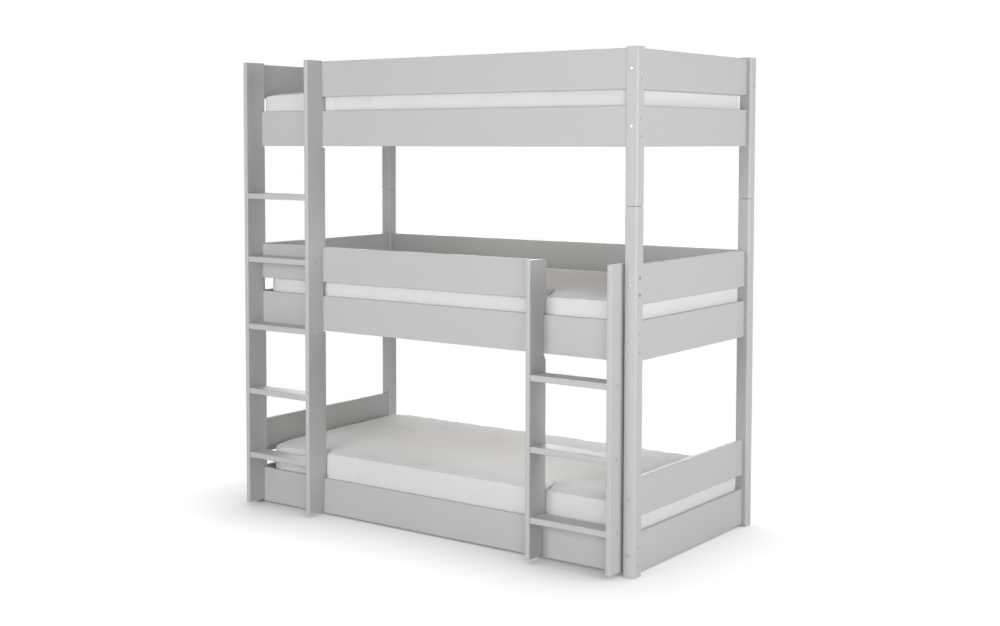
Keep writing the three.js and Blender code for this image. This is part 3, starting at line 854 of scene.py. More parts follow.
class BUNK_OT_fasteners(Operator):
    """Builds the socket bolts, the countersunk screws and the post pins"""

    bl_idname = "bunk.fasteners"
    bl_label = "Fasteners"

    def execute(self, context):
        bolt = self.bolt("bolt", **POST_BOLT)
        for corner in CORNERS:
            for storey in STOREYS:
                places = [facing(point, out) for point, out, used in
                          post_holes(corner, storey) if used]
                steel_piece(f"{post_of(corner, storey)}_bolts", copies(bolt, places))
            self.post_pin(corner)
        short_bolt = self.bolt("tread_bolt", **TREAD_BOLT)
        for ladder in TREAD_COUNTS:
            for side, end in ENDS.items():
                places = [facing(point, out) for point, out, _ in stile_holes(ladder, side)]
                steel_piece(f"{ladder}_{end}_stile_bolts", copies(short_bolt, places))
        screw = self.screw()
        for bed in BEDS:
            for side, row in ROWS.items():
                self.ledge_screws(f"{row}_{bed}_ledge", side, screw)
        self.ladder_screws(screw)
        discard(bolt, short_bolt, screw)
        return {"FINISHED"}

    def bolt(self, name, length, head, socket):
        """A bolt with a low round head and a hexagon socket, sunk under a face at z = 0."""
        top, seat = -BOLT_HEAD_TOP, -RECESS_DEPTH + BOLT_SEAT_GAP
        tip_share, tip_length = BOLT_TIP
        corner = BOLT_HEAD_ROUND / 3
        obj = turned(name, [
            (BOLT_SHANK * tip_share, -length), (BOLT_SHANK, tip_length - length),
            (BOLT_SHANK, seat), (head, seat), (head, top - BOLT_HEAD_ROUND),
            (head - corner, top - corner), (head - BOLT_HEAD_ROUND, top)], BOLT_SIDES)
        cut(obj, [turned("socket", [(socket, top - SOCKET_DEPTH * socket),
                                    (socket, CUT_OVERRUN)], SOCKET_SIDES)])
        return obj

    def post_pin(self, corner):
        """The pin that holds an upper post on its lower one."""
        node = f"{corner}_post_pin"
        low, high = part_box(node)
        middle, radius = (low + high) / 2, (high.x - low.x) / 2
        pin = turned(f"{node}_turned", [
            (radius - PIN_BEVEL, low.z), (radius, low.z + PIN_BEVEL),
            (radius, high.z - PIN_BEVEL), (radius - PIN_BEVEL, high.z)], BOLT_SIDES)
        pin.data.transform(Matrix.Translation((middle.x, middle.y, 0)))
        steel_piece(f"{node}_turned", [pin], replaces=[node])

    def screw(self):
        """A countersunk screw with a cross recess, its head flush with a face at z = 0."""
        obj = turned("screw", SCREW, SCREW_SIDES)
        for x, y in ((CROSS_REACH, CROSS_HALF), (CROSS_HALF, CROSS_REACH)):
            cut(obj, [bar("slot", (-x, -y, -CROSS_DEPTH), (x, y, CUT_OVERRUN))])
        return obj

    def ledge_screws(self, node, side, screw):
        """A row of screws through a ledge into its rail."""
        low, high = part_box(node)
        face = low.y if side > 0 else high.y
        step = (high.x - low.x - 2 * LEDGE_SCREW_MARGIN) / (LEDGE_SCREWS - 1)
        z = (low.z + high.z) / 2
        places = [facing((low.x + LEDGE_SCREW_MARGIN + step * number, face, z), (0, -side, 0))
                  for number in range(LEDGE_SCREWS)]
        steel_piece(f"{node}_screws", copies(screw, places))

    def ladder_screws(self, screw):
        """Two screws from the inside of each front board into each stile that crosses it."""
        for ladder in TREAD_COUNTS:
            for end in ENDS.values():
                low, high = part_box(f"{ladder}_{end}_stile")
                places = []
                for bed in BEDS:
                    for board in BOARDS:
                        places += self.screws_in(f"front_{bed}_{board}", (low.x + high.x) / 2,
                                                 high.z)
                steel_piece(f"{ladder}_{end}_stile_screws", copies(screw, places))

    def screws_in(self, board, x, stile_top):
        """Places of the two screws in one board, if the stile crosses it."""
        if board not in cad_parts:
            return []
        low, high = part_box(board)
        if not low.x < x < high.x or high.z > stile_top:
            return []
        return [facing((x, high.y, z), (0, 1, 0))
                for z in (low.z + LADDER_SCREW_RISE, high.z - LADDER_SCREW_DROP)]


# Mattresses

# How each mattress lies: its shift along X, the radius and droop of its front left corner,
# the sag of its left end, the lift of its rear edge, the rise of all its seams, and how much
# of the crown rolls up right behind them
MATTRESS_LIE = {
    "bottom": {"shift": 0.0, "pulled": 95 * MM, "droop": 15 * MM, "sag": 8 * MM,
               "lift": 0.0, "seam_rise": 0.0, "roll": 0.4},
    "middle": {"shift": 0.0, "pulled": 80 * MM, "droop": 4 * MM, "sag": 0.0,
               "lift": 4 * MM, "seam_rise": 0.0, "roll": 0.8},
    "top": {"shift": 3 * MM, "pulled": 30 * MM, "droop": 6 * MM, "sag": 0.0,
            "lift": 0.0, "seam_rise": 8 * MM, "roll": 0.3},
}
CELLS = (124, 58, 11)  # of a cover, along each axis
HAIR = 1 * MM  # less than any cell
SEAM_ANGLE = 1.2  # between faces, from which an edge is sewn
PANEL_LEVEL = 0.7  # share of a face's normal along Z, from which it belongs to a panel
TOP_WAVES = ((2.2 * MM, 7, 4, 9.1), (1.0 * MM, 19, 11, 3.7))  # height, waves, step per bed
SAG_REACH = 100 * MM
DROOPS = ((1, 80 * MM), (0.35, 400 * MM))  # share of a corner's droop, and its reach
ROLL_WIDTH = 70 * MM
ROLL_POWER = 2.5
SIDE_SHARE = 0.9  # of each half of the plan, beyond which the sides move
SIDE_ZONE = 60 * MM
SIDE_BELLY = 2.5 * MM
SIDE_DRAWN_IN = 3 * MM  # at the middle of a side
SIDE_WANDER = 1.2 * MM
SIDE_WAVES = (9, 5, 2, 4)  # along, across, up, and where the noise starts
SIDE_PLAY = 1 * MM  # to boards and posts
SEAM_HOLD = 0.8
SWELL_FRAMES = 20
CLOTH = {
    "quality": 6, "mass": 0.4, "tension_stiffness": 25, "compression_stiffness": 25,
    "shear_stiffness": 10, "bending_stiffness": 2, "use_pressure": True,
    "vertex_group_mass": "seams", "pin_stiffness": 2, "shrink_min": -0.012}
CREASE_X = 575 * MM  # pinched fold behind the front seam
CREASE_SPAN = (10 * MM, 125 * MM)  # from the seam inwards
CREASE_WIDTH = 6 * MM
CREASE_DEPTH = 15 * MM
CREASE_LEAN = 0.2  # to the left, on its way in
CREASE_ZONE = 5 * CREASE_WIDTH  # where the cells are finer
CREASE_RIDGES = (0.3, 2.6, 1.3)  # height against the depth, place and width in fold widths
TOP_DEPTH = 30 * MM  # under the seams, down to which a point belongs to the top


class BUNK_OT_mattresses(Operator):
    """Builds the three mattresses and swells their covers with a cloth simulation"""

    bl_idname = "bunk.mattresses"
    bl_label = "Mattresses"

    def execute(self, context):
        cut_size = context.scene.bunk_mattress
        for index, bed in enumerate(BEDS):
            self.mattress(cut_size, bed, index)
        return {"FINISHED"}

    def mattress(self, cut_size, bed, index):
        """One mattress, from a block to its sewn, filled and laid cover."""
        lie = MATTRESS_LIE[bed]
        shift = Vector((lie["shift"], 0, 0))
        low, high = (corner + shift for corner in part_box(f"{bed}_mattress"))
        edge_top = high.z - cut_size.crown
        obj = bar(f"{bed}_mattress_cover", low, (high.x, high.y, edge_top))
        self.divide(obj)
        self.round_corners(obj, min(cut_size.corner_round, lie["pulled"]), lie["pulled"])
        self.sew_edges(obj, cut_size.seam_round)
        self.lay(obj, low, high, cut_size.crown, index, lie)
        self.swell(obj, cut_size, low)
        self.refine_crease(obj)
        apply_modifier(obj, "SUBSURF", levels=1, render_levels=1)
        self.pinch(obj, low, edge_top)
        obj = self.add_welt(obj, cut_size.welt_radius)
        self.keep_clear(obj, bed, low)
        self.map_cloth(obj)
        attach(obj, f"{bed}_mattress_body")
        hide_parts(f"{bed}_mattress")

    def divide(self, obj):
        """Divides the block into a grid of cells along each axis."""
        for axis, count in enumerate(CELLS):
            with editing(obj):
                select_edges(obj, runs_along(axis))
                bpy.ops.mesh.subdivide(number_cuts=count - 1)

    def round_corners(self, obj, radius, pulled_round):
        """Bends the square corners of the plan onto round ones, the front left one further."""
        low, high = bounds_of(obj)
        middle, half = (low + high) / 2, (high - low) / 2
        for vertex in obj.data.vertices:
            from_middle = vertex.co - middle
            size = pulled_round if max(from_middle.x, from_middle.y) < 0 else radius
            past = [abs(from_middle[axis]) - (half[axis] - size) for axis in (X, Y)]
            if min(past) <= 0:
                continue
            reach, angle = max(past), math.atan2(past[Y], past[X])
            turn = math.pi / 4 * math.tan(angle) if past[X] >= past[Y] else (
                math.pi / 2 - math.pi / 4 / math.tan(angle))
            for axis, share in ((X, math.cos(turn)), (Y, math.sin(turn))):
                place = half[axis] - size + reach * share
                vertex.co[axis] = middle[axis] + math.copysign(place, from_middle[axis])

    def sew_edges(self, obj, seam_round):
        """Rounds the sewn edges, and gives the panels and the border their cloths."""
        with editing(obj):
            select(obj, "edges", lambda edge: edge.is_manifold
                   and edge.calc_face_angle() > SEAM_ANGLE)
            bpy.ops.mesh.bevel(offset=seam_round, segments=2, affect="EDGES",
                               clamp_overlap=True)
        for finish in ("mattress_top_cloth", "mattress_border_cloth"):
            obj.data.materials.append(bpy.data.materials[finish])
        for face in obj.data.polygons:
            face.material_index = 0 if abs(face.normal.z) > PANEL_LEVEL else 1
            face.use_smooth = True

    def lay(self, obj, low, high, crown, index, lie):
        """Crowns the top, draws the sides in and lets seams and corners wander a little."""
        middle, half = (low + high) / 2, (high - low) / 2
        edge_top = high.z - crown
        for vertex in obj.data.vertices:
            place = vertex.co
            u, v = (place.x - middle.x) / half.x, (place.y - middle.y) / half.y
            rise = (place.z - low.z) / (edge_top - low.z)
            hump = self.hump(u, v, half, lie["roll"])
            sag = self.sag(place.x - low.x, place.y - low.y, v, lie)
            top = crown * hump - (sag - lie["seam_rise"] * (1 - hump))
            for height, along, across, step in TOP_WAVES:
                top += height * noise.noise(Vector((u * along, v * across, index * step)))
            place.z += max(0, rise) * top
            self.move_side(place, (u, v), half, rise, index)

    def hump(self, u, v, half, roll):
        """Rise of the top, from nought at the seams to one in the middle."""
        rolled = self.rolled(half.x * (1 - abs(u))) * self.rolled(half.y * (1 - abs(v)))
        broad = max(0, 1 - u * u) * max(0, 1 - v * v)
        return roll * rolled + (1 - roll) * broad

    def rolled(self, distance):
        """How far the top has risen at a distance from its seam, from nought to one."""
        return 1 - min(1, max(0, 1 - distance / ROLL_WIDTH)) ** ROLL_POWER

    def sag(self, to_end, to_front, v, lie):
        """How far the top hangs down at a distance from its left end and its front."""
        to_corner = math.hypot(to_end, to_front)
        droop = sum(share * math.exp(-(to_corner / reach) ** 2) for share, reach in DROOPS)
        end_sag = lie["sag"] * math.exp(-(to_end / SAG_REACH) ** 2)
        return lie["droop"] * droop + (end_sag - lie["lift"] * max(0, v) ** 2)

    def move_side(self, place, spot, half, rise, index):
        """Draws a side in along its length, and lets it belly out and wander."""
        if max(abs(share) for share in spot) <= SIDE_SHARE:
            return
        axis = Y if abs(spot[Y]) * half.y > half.y - SIDE_ZONE else X
        across, along = spot[axis], spot[Y if axis == X else X]
        if abs(across) * half[axis] < half[axis] - SIDE_ZONE:
            return
        belly = math.sin(math.pi * min(1, max(0, rise)))
        lengthways, crossways, up, start = SIDE_WAVES
        wander = noise.noise(Vector((spot[X] * lengthways, spot[Y] * crossways,
                                     start + rise * up + index)))
        drawn_in = SIDE_DRAWN_IN * (1 - along * along)
        out = SIDE_BELLY * belly + SIDE_WANDER * wander - drawn_in
        place[axis] += math.copysign(out, across)

    def swell(self, obj, cut_size, low):
        """Swells the cover under pressure, with its seams held, and caps every move."""
        start = [vertex.co.copy() for vertex in obj.data.vertices]
        seams = obj.vertex_groups.new(name=CLOTH["vertex_group_mass"])
        foot = [v.index for v in obj.data.vertices if v.co.z < low.z + HAIR]
        seams.add(self.seam_vertices(obj), SEAM_HOLD, "REPLACE")
        seams.add(foot, 1.0, "REPLACE")
        modifier = obj.modifiers.new("cloth", "CLOTH")
        for key, value in CLOTH.items():
            setattr(modifier.settings, key, value)
        modifier.settings.uniform_pressure_force = cut_size.pressure
        modifier.settings.effector_weights.gravity = 0
        modifier.point_cache.frame_start = 1
        modifier.point_cache.frame_end = SWELL_FRAMES
        scene = bpy.context.scene
        for number in range(1, SWELL_FRAMES + 1):
            scene.frame_set(number)
        only(obj)
        bpy.ops.object.modifier_apply(modifier=modifier.name)
        scene.frame_set(1)
        obj.vertex_groups.clear()
        for vertex, place in zip(obj.data.vertices, start):
            move = vertex.co - place
            if move.length > cut_size.swell_limit:
                vertex.co = place + move.normalized() * cut_size.swell_limit

    def refine_crease(self, obj):
        """Divides the cells more finely where the pinched fold goes."""
        with editing(obj):
            select_edges(obj, lambda a, b: abs(b.x - a.x) > HAIR
                         and abs((a.x + b.x) / 2 - CREASE_X) < CREASE_ZONE)
            bpy.ops.mesh.subdivide(number_cuts=2)

    def seam_vertices(self, obj):
        """Vertices where the panels' cloth meets the border's."""
        cloths = {}
        for face in obj.data.polygons:
            for index in face.vertices:
                cloths.setdefault(index, set()).add(face.material_index)
        return [index for index, kinds in cloths.items() if len(kinds) > 1]

    def pinch(self, obj, low, edge_top):
        """Presses a short pinched fold into the top, behind the front seam."""
        start, end = CREASE_SPAN
        height, distance, width = CREASE_RIDGES
        for vertex in obj.data.vertices:
            from_edge = vertex.co.y - low.y
            along = (from_edge - start) / (end - start)
            if not 0 < along < 1 or vertex.co.z < edge_top - TOP_DEPTH:
                continue
            across = (vertex.co.x - CREASE_X + CREASE_LEAN * from_edge) / CREASE_WIDTH
            fade = math.sin(math.pi * math.sqrt(along))
            valley = math.exp(-abs(across))
            ridges = height * math.exp(-((abs(across) - distance) / width) ** 2)
            vertex.co.z -= fade * CREASE_DEPTH * (valley - ridges)

    def add_welt(self, obj, radius):
        """Sews a thin cord into the seams between the panels and the border."""
        with editing(obj):
            select(obj, "edges", lambda edge: len(
                {face.material_index for face in edge.link_faces}) == 2)
            bpy.ops.mesh.duplicate()
            bpy.ops.mesh.separate(type="SELECTED")
        cord = next(other for other in bpy.context.selected_objects if other is not obj)
        only(cord)
        bpy.ops.object.convert(target="CURVE")
        cord = bpy.context.active_object
        cord.data.bevel_depth = radius
        cord.data.bevel_resolution = 1
        bpy.ops.object.convert(target="MESH")
        cord = bpy.context.active_object
        cord.data.materials.clear()
        cord.data.materials.append(bpy.data.materials["mattress_border_cloth"])
        with editing(cord):
            bpy.ops.mesh.select_all(action="SELECT")
            bpy.ops.mesh.normals_make_consistent(inside=False)
        for face in cord.data.polygons:
            face.use_smooth = True
        return joined(obj.name, [obj, cord])

    def keep_clear(self, obj, bed, low):
        """Keeps the foot flat on the slats, and the sides off the boards and posts."""
        play = Vector((SIDE_PLAY, SIDE_PLAY))
        room_low = Vector((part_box(f"left_{bed}_rail")[1].x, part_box(f"front_{bed}_rail")[1].y))
        room_high = Vector((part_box(f"right_{bed}_rail")[0].x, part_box(f"rear_{bed}_rail")[0].y))
        middle = (room_low + room_high) / 2
        half = (room_high - room_low) / 2 - play
        post_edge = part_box("rear_right_lower_post")[0].to_2d() - middle - play
        for vertex in obj.data.vertices:
            place = vertex.co
            place.z = max(place.z, low.z)
            offset = place.to_2d() - middle
            past = [abs(offset[axis]) - post_edge[axis] for axis in (X, Y)]
            limits = [half.x, half.y]
            if min(past) > 0:
                nearest = X if past[X] < past[Y] else Y
                limits[nearest] = post_edge[nearest]
            for axis in (X, Y):
                if abs(offset[axis]) > limits[axis]:
                    place[axis] = middle[axis] + math.copysign(limits[axis], offset[axis])

    def map_cloth(self, obj):
        """A box projected map, in metres, for the weave."""
        with editing(obj, "FACE"):
            bpy.ops.mesh.select_all(action="SELECT")
            bpy.ops.uv.cube_project(cube_size=1.0, correct_aspect=False)


def bounds_of(obj):
    """Lowest and highest corner of a piece's mesh."""
    points = [vertex.co for vertex in obj.data.vertices]
    low = Vector([min(p[i] for p in points) for i in range(3)])
    high = Vector([max(p[i] for p in points) for i in range(3)])
    return low, high


# Materials

def connect(tree, made, inputs):
    """Puts values or other nodes' outputs on a node's inputs."""
    for key, value in inputs.items():
        if isinstance(value, bpy.types.NodeSocket):
            tree.links.new(value, made.inputs[key])
        else:
            made.inputs[key].default_value = value
    return made


def node(tree, kind, inputs=None, **settings):
    """A new shader node with its settings and inputs."""
    made = tree.nodes.new(kind)
    for key, value in settings.items():
        setattr(made, key, value)
    return connect(tree, made, inputs or {})


def math_node(tree, operation, *values):
    """Result of one sum on values or other nodes' outputs."""
    made = node(tree, "ShaderNodeMath", dict(enumerate(values)), operation=operation)
    return made.outputs[0]


def map_range(tree, value, ends, source=(0.0, 1.0), **settings):
    """A value carried over from a source range to one with these ends."""
    made = node(tree, "ShaderNodeMapRange", {
        "Value": value, "From Min": source[0], "From Max": source[1],
        "To Min": ends[0], "To Max": ends[1]}, **settings)
    return made.outputs[0]


def new_group(name, inputs, outputs):
    """An empty node group with its sockets, and its two end nodes."""
    tree = bpy.data.node_groups.new(name, "ShaderNodeTree")
    for socket, (kind, default) in inputs.items():
        made = tree.interface.new_socket(name=socket, in_out="INPUT", socket_type=kind)
        if default is not None:
            made.default_value = default
    for socket, kind in outputs.items():
        tree.interface.new_socket(name=socket, in_out="OUTPUT", socket_type=kind)
    return tree, tree.nodes.new("NodeGroupInput"), tree.nodes.new("NodeGroupOutput")


FLOAT, COLOUR, VECTOR = "NodeSocketFloat", "NodeSocketColor", "NodeSocketVector"
NOISE_RANGE = (0.3, 0.7)
NOISE_GAIN = 4.0  # brings the noise's usual distance from its middle to about one


def tinted(tree, colour, factor):
    """A colour made lighter or darker by a factor near one."""
    return node(tree, "ShaderNodeHueSaturation", {"Color": colour, "Value": factor}).outputs[0]


def noise_value(tree, vector, scale, detail=2.0, roughness=0.5):
    """Noise that stays mostly within NOISE_RANGE."""
    made = node(tree, "ShaderNodeTexNoise", {
        "Vector": vector, "Scale": scale, "Detail": detail, "Roughness": roughness})
    return made.outputs["Fac"]


def uneven_tone_group():
    """Slow changes of tone, as every real surface has."""
    tree, start, end = new_group("uneven tone", {
        "Coordinates": (VECTOR, None), "Colour": (COLOUR, (0.5, 0.5, 0.5, 1)),
        "Scale": (FLOAT, 3.0), "Amount": (FLOAT, 0.02)}, {"Colour": COLOUR})
    cloud = noise_value(tree, start.outputs["Coordinates"], start.outputs["Scale"], 3.0)
    centred = math_node(tree, "SUBTRACT", cloud, 0.5)
    wide = math_node(tree, "MULTIPLY", centred, start.outputs["Amount"])
    factor = math_node(tree, "MULTIPLY_ADD", wide, NOISE_GAIN, 1.0)
    connect(tree, end, {"Colour": tinted(tree, start.outputs["Colour"], factor)})


def weave_group():
    """Plain weave: warp and weft pass over each other in turn."""
    tree, start, end = new_group("plain weave", {
        "Coordinates": (VECTOR, None), "Thread Pitch": (FLOAT, 0.0012)}, {"Height": FLOAT})
    parts = node(tree, "ShaderNodeSeparateXYZ", {0: start.outputs["Coordinates"]})
    waves = []
    for axis in ("X", "Y"):
        count = math_node(tree, "DIVIDE", parts.outputs[axis], start.outputs["Thread Pitch"])
        waves.append(math_node(tree, "SINE", math_node(tree, "MULTIPLY", count, math.pi)))
    tops = [math_node(tree, "ABSOLUTE", wave) for wave in waves]
    over = math_node(tree, "GREATER_THAN", math_node(tree, "MULTIPLY", *waves), 0.0)
    warp = math_node(tree, "MULTIPLY", tops[0], over)
    weft = math_node(tree, "MULTIPLY", tops[1], math_node(tree, "SUBTRACT", 1.0, over))
    connect(tree, end, {"Height": math_node(tree, "ADD", warp, weft)})


SLAT_MOVES = (3.0, 5.0, 2.0)  # metres between the grain of two slats at most
GRAIN_DRAW = (1.0, 0.07, 1.0)
KNOT_DRAW = (1.0, 0.45, 1.0)
KNOT_EDGE = (0.03, 0.055)  # where a knot ends, in cells
KNOT_SHADES = (0.75, 0.0)
RING_SHARES = (0.55, 0.35, 0.2)  # of rings, clouds and fibres in the grain
RING_LEVEL = 0.1


def slat_place(tree, place, pitch):
    """Coordinates moved by chance from slat to slat, so that no two have the same grain."""
    parts = node(tree, "ShaderNodeSeparateXYZ", {0: place})
    number = math_node(tree, "FLOOR", math_node(tree, "DIVIDE", parts.outputs["X"], pitch))
    chance = node(tree, "ShaderNodeTexWhiteNoise", {"W": number}, noise_dimensions="1D")
    offset = node(tree, "ShaderNodeVectorMath", {
        0: chance.outputs["Color"], 1: SLAT_MOVES}, operation="MULTIPLY")
    return node(tree, "ShaderNodeVectorMath", {0: place, 1: offset.outputs[0]},
                operation="ADD").outputs[0]


def growth_rings(tree, place):
    """Rings and fibres drawn out along Y: their shade, and the fibres alone."""
    drawn = node(tree, "ShaderNodeMapping", {"Vector": place, "Scale": GRAIN_DRAW}).outputs[0]
    clouds = noise_value(tree, drawn, 9.0, 2.0)
    rings = node(tree, "ShaderNodeTexWave", {
        "Vector": drawn, "Scale": 26.0, "Distortion": 5.5, "Detail": 2.0,
        "Detail Scale": 1.4}, bands_direction="X")
    fibres = noise_value(tree, drawn, 420.0, 2.0)
    ring_share, cloud_share, fibre_share = RING_SHARES
    shade = math_node(tree, "MULTIPLY_ADD", rings.outputs["Fac"], ring_share,
                      math_node(tree, "MULTIPLY", clouds, cloud_share))
    shade = math_node(tree, "MULTIPLY_ADD", fibres, fibre_share,
                      math_node(tree, "SUBTRACT", shade, RING_LEVEL))
    return shade, fibres


def knots(tree, place):
    """A few dark knots, longer along Y than across."""
    drawn = node(tree, "ShaderNodeMapping", {"Vector": place, "Scale": KNOT_DRAW})
    cells = node(tree, "ShaderNodeTexVoronoi", {"Vector": drawn.outputs[0], "Scale": 4.2})
    return map_range(tree, cells.outputs["Distance"], KNOT_SHADES, KNOT_EDGE)


def pine_grain_group():
    """Growth rings drawn out along Y, shifted from slat to slat, with a few knots."""
    tree, start, end = new_group("pine grain", {
        "Coordinates": (VECTOR, None), "Slat Pitch": (FLOAT, 0.16),
        "Light": (COLOUR, (0.7, 0.53, 0.33, 1)), "Dark": (COLOUR, (0.5, 0.33, 0.16, 1))},
        {"Colour": COLOUR, "Height": FLOAT, "Ring": FLOAT})
    place = slat_place(tree, start.outputs["Coordinates"], start.outputs["Slat Pitch"])
    ring, fibres = growth_rings(tree, place)
    knot = knots(tree, place)
    shade = math_node(tree, "MAXIMUM", ring, knot)
    factor, first, second, result = 0, 6, 7, 2  # sockets of a mix of colours
    colour = node(tree, "ShaderNodeMix", {
        factor: shade, first: start.outputs["Light"], second: start.outputs["Dark"]},
        data_type="RGBA")
    connect(tree, end, {"Colour": colour.outputs[result], "Ring": shade,
                        "Height": math_node(tree, "SUBTRACT", fibres, knot)})


def fine_skin_group():
    """Fine bumps and uneven gloss of a sprayed or plated skin."""
    tree, start, end = new_group("fine skin", {
        "Coordinates": (VECTOR, None), "Bump Scale": (FLOAT, 300.0),
        "Gloss Scale": (FLOAT, 14.0), "Roughness": (FLOAT, 0.4),
        "Gloss Change": (FLOAT, 0.05)}, {"Height": FLOAT, "Roughness": FLOAT})
    coordinates = start.outputs["Coordinates"]
    peel = noise_value(tree, coordinates, start.outputs["Bump Scale"], 1.0)
    patches = noise_value(tree, coordinates, start.outputs["Gloss Scale"], 3.0, 0.6)
    centred = math_node(tree, "SUBTRACT", patches, 0.5)
    change = math_node(tree, "MULTIPLY", centred, start.outputs["Gloss Change"])
    rough = math_node(tree, "MULTIPLY_ADD", change, NOISE_GAIN, start.outputs["Roughness"])
    connect(tree, end, {"Height": peel, "Roughness": rough})


def group_node(tree, name, inputs):
    """A node that runs one of the shared groups."""
    return node(tree, "ShaderNodeGroup", inputs, node_tree=bpy.data.node_groups[name])


def new_material(name, coordinates="Object"):
    """A material's node tree, its Principled shader, and the coordinates that it reads."""
    material = bpy.data.materials.new(name)
    material.use_nodes = True
    tree = material.node_tree
    shader = tree.nodes["Principled BSDF"]
    place = tree.nodes.new("ShaderNodeTexCoord").outputs[coordinates]
    return tree, shader, place


def bump(tree, height, strength, distance):
    """Normals of a relief with this height."""
    made = node(tree, "ShaderNodeBump", {
        "Height": height, "Strength": strength, "Distance": distance})
    return made.outputs[0]


def rgba(colour):
    """A user's colour with its alpha."""
    return (*colour, 1.0)


COVER_CLOTH = {"coordinates": "UV", "pitch": 1.3 * MM, "relief": 0.3 * MM, "sheen": 0.15}
TAPE_CLOTH = {"coordinates": "Object", "pitch": 2.2 * MM, "relief": 0.5 * MM, "sheen": 0.05}


def lacquer_material(colours):
    """Satin lacquer on wood, with a trace of sprayed texture."""
    tree, shader, place = new_material("satin_lacquer")
    tone = group_node(tree, "uneven tone", {
        "Coordinates": place, "Colour": rgba(colours.lacquer), "Scale": 2.3, "Amount": 0.012})
    skin = group_node(tree, "fine skin", {
        "Coordinates": place, "Bump Scale": 260.0, "Gloss Scale": 9.0, "Roughness": 0.47,
        "Gloss Change": 0.05})
    connect(tree, shader, {
        "Base Color": tone.outputs["Colour"], "Roughness": skin.outputs["Roughness"],
        "Normal": bump(tree, skin.outputs["Height"], 0.12, 0.4 * MM)})


def pine_material(colours):
    """Raw planed pine with its grain along Y."""
    tree, shader, place = new_material("pine")
    grain = group_node(tree, "pine grain", {
        "Coordinates": place, "Light": rgba(colours.pine_light),
        "Dark": rgba(colours.pine_dark)})
    tone = group_node(tree, "uneven tone", {
        "Coordinates": place, "Colour": grain.outputs["Colour"], "Scale": 6.0,
        "Amount": 0.03})
    connect(tree, shader, {
        "Base Color": tone.outputs["Colour"],
        "Roughness": map_range(tree, grain.outputs["Ring"], (0.62, 0.78)),
        "Normal": bump(tree, grain.outputs["Height"], 0.25, 0.6 * MM)})


def cloth_material(name, colour, coordinates, pitch, relief, sheen):
    """Plain woven cloth with thicker threads here and there."""
    tree, shader, place = new_material(name, coordinates)
    weave = group_node(tree, "plain weave", {"Coordinates": place, "Thread Pitch": pitch})
    tone = group_node(tree, "uneven tone", {
        "Coordinates": place, "Colour": rgba(colour), "Scale": 5.0, "Amount": 0.015})
    slubs = node(tree, "ShaderNodeMapping", {"Vector": place, "Scale": (30.0, 300.0, 60.0)})
    slub = noise_value(tree, slubs.outputs[0], 1.0, 2.0)
    factor = math_node(tree, "MULTIPLY_ADD", weave.outputs["Height"], 0.05,
                       map_range(tree, slub, (0.94, 0.985), NOISE_RANGE))
    connect(tree, shader, {
        "Base Color": tinted(tree, tone.outputs["Colour"], factor),
        "Roughness": map_range(tree, slub, (0.86, 0.96), NOISE_RANGE),
        "Sheen Weight": sheen, "Sheen Roughness": 0.5, "Specular IOR Level": 0.25,
        "Normal": bump(tree, weave.outputs["Height"], 0.35, relief)})


def steel_material(colours):
    """Zinc plated steel with a patchy gloss."""
    tree, shader, place = new_material("zinc_steel")
    tone = group_node(tree, "uneven tone", {
        "Coordinates": place, "Colour": rgba(colours.steel), "Scale": 90.0, "Amount": 0.06})
    skin = group_node(tree, "fine skin", {
        "Coordinates": place, "Bump Scale": 2500.0, "Gloss Scale": 400.0, "Roughness": 0.34,
        "Gloss Change": 0.12})
    connect(tree, shader, {
        "Base Color": tone.outputs["Colour"], "Roughness": skin.outputs["Roughness"],
        "Metallic": 1.0, "Normal": bump(tree, skin.outputs["Height"], 0.2, 0.1 * MM)})


class BUNK_OT_materials(Operator):
    """Builds the lacquer, pine, cloth, webbing and steel finishes"""

    bl_idname = "bunk.materials"
    bl_label = "Materials"

    def execute(self, context):
        colours = context.scene.bunk_colours
        uneven_tone_group()
        weave_group()
        pine_grain_group()
        fine_skin_group()
        lacquer_material(colours)
        pine_material(colours)
        # the top cloth's colour holds some painted light
        cloth_material("mattress_top_cloth", colours.top_panel_with_painted_light, **COVER_CLOTH)
        cloth_material("mattress_border_cloth", colours.border, **COVER_CLOTH)
        cloth_material("cotton_webbing", colours.webbing, **TAPE_CLOTH)
        steel_material(colours)
        return {"FINISHED"}


# Stage

BED_MIDDLE = (0, 0, 0.9)  # where the lamps point
LAMPS = {  # power in watts, place, side of the square
    "low_key_lamp": (45, (4.0, -4.0, 0.9), 1.5),
    "front_lamp": (132, (0.0, -5.0, 1.8), 2.4),
    "right_lamp": (98, (4.5, 0.0, 2.0), 1.8),
    "high_front_lamp": (31, (0.5, -3.0, 5.0), 2.5),
    "rear_left_lamp": (106, (-3.6, 4.2, 2.0), 2.2),
    "rear_lamp": (76, (-1.6, 4.6, 1.1), 2.2),
    "left_lamp": (18, (-4.5, -0.6, 1.4), 1.8),
    "high_rear_lamp": (40, (-1.4, 1.6, 4.8), 1.8),
}
LAMP_COLOUR = (0.982, 0.988, 1.0)
CAMERA_SHIFT = (0.0472, -0.085)  # of the lens, in picture widths
WHITE = (1.0, 1.0, 1.0, 1.0)
FLOOR_RADIUS, FLOOR_SIDES = 9.0, 96
FLOOR_FADE = (1.8, 3.2)  # distances from the middle at which its fade starts and ends
FLOOR_BOUNCE = (0.78, 0.78, 0.78, 1.0)  # what it throws back on the bed
FLOOR_GREY = (0.1, 0.1, 0.1, 1.0)  # what takes the lamps' shadows where it is seen
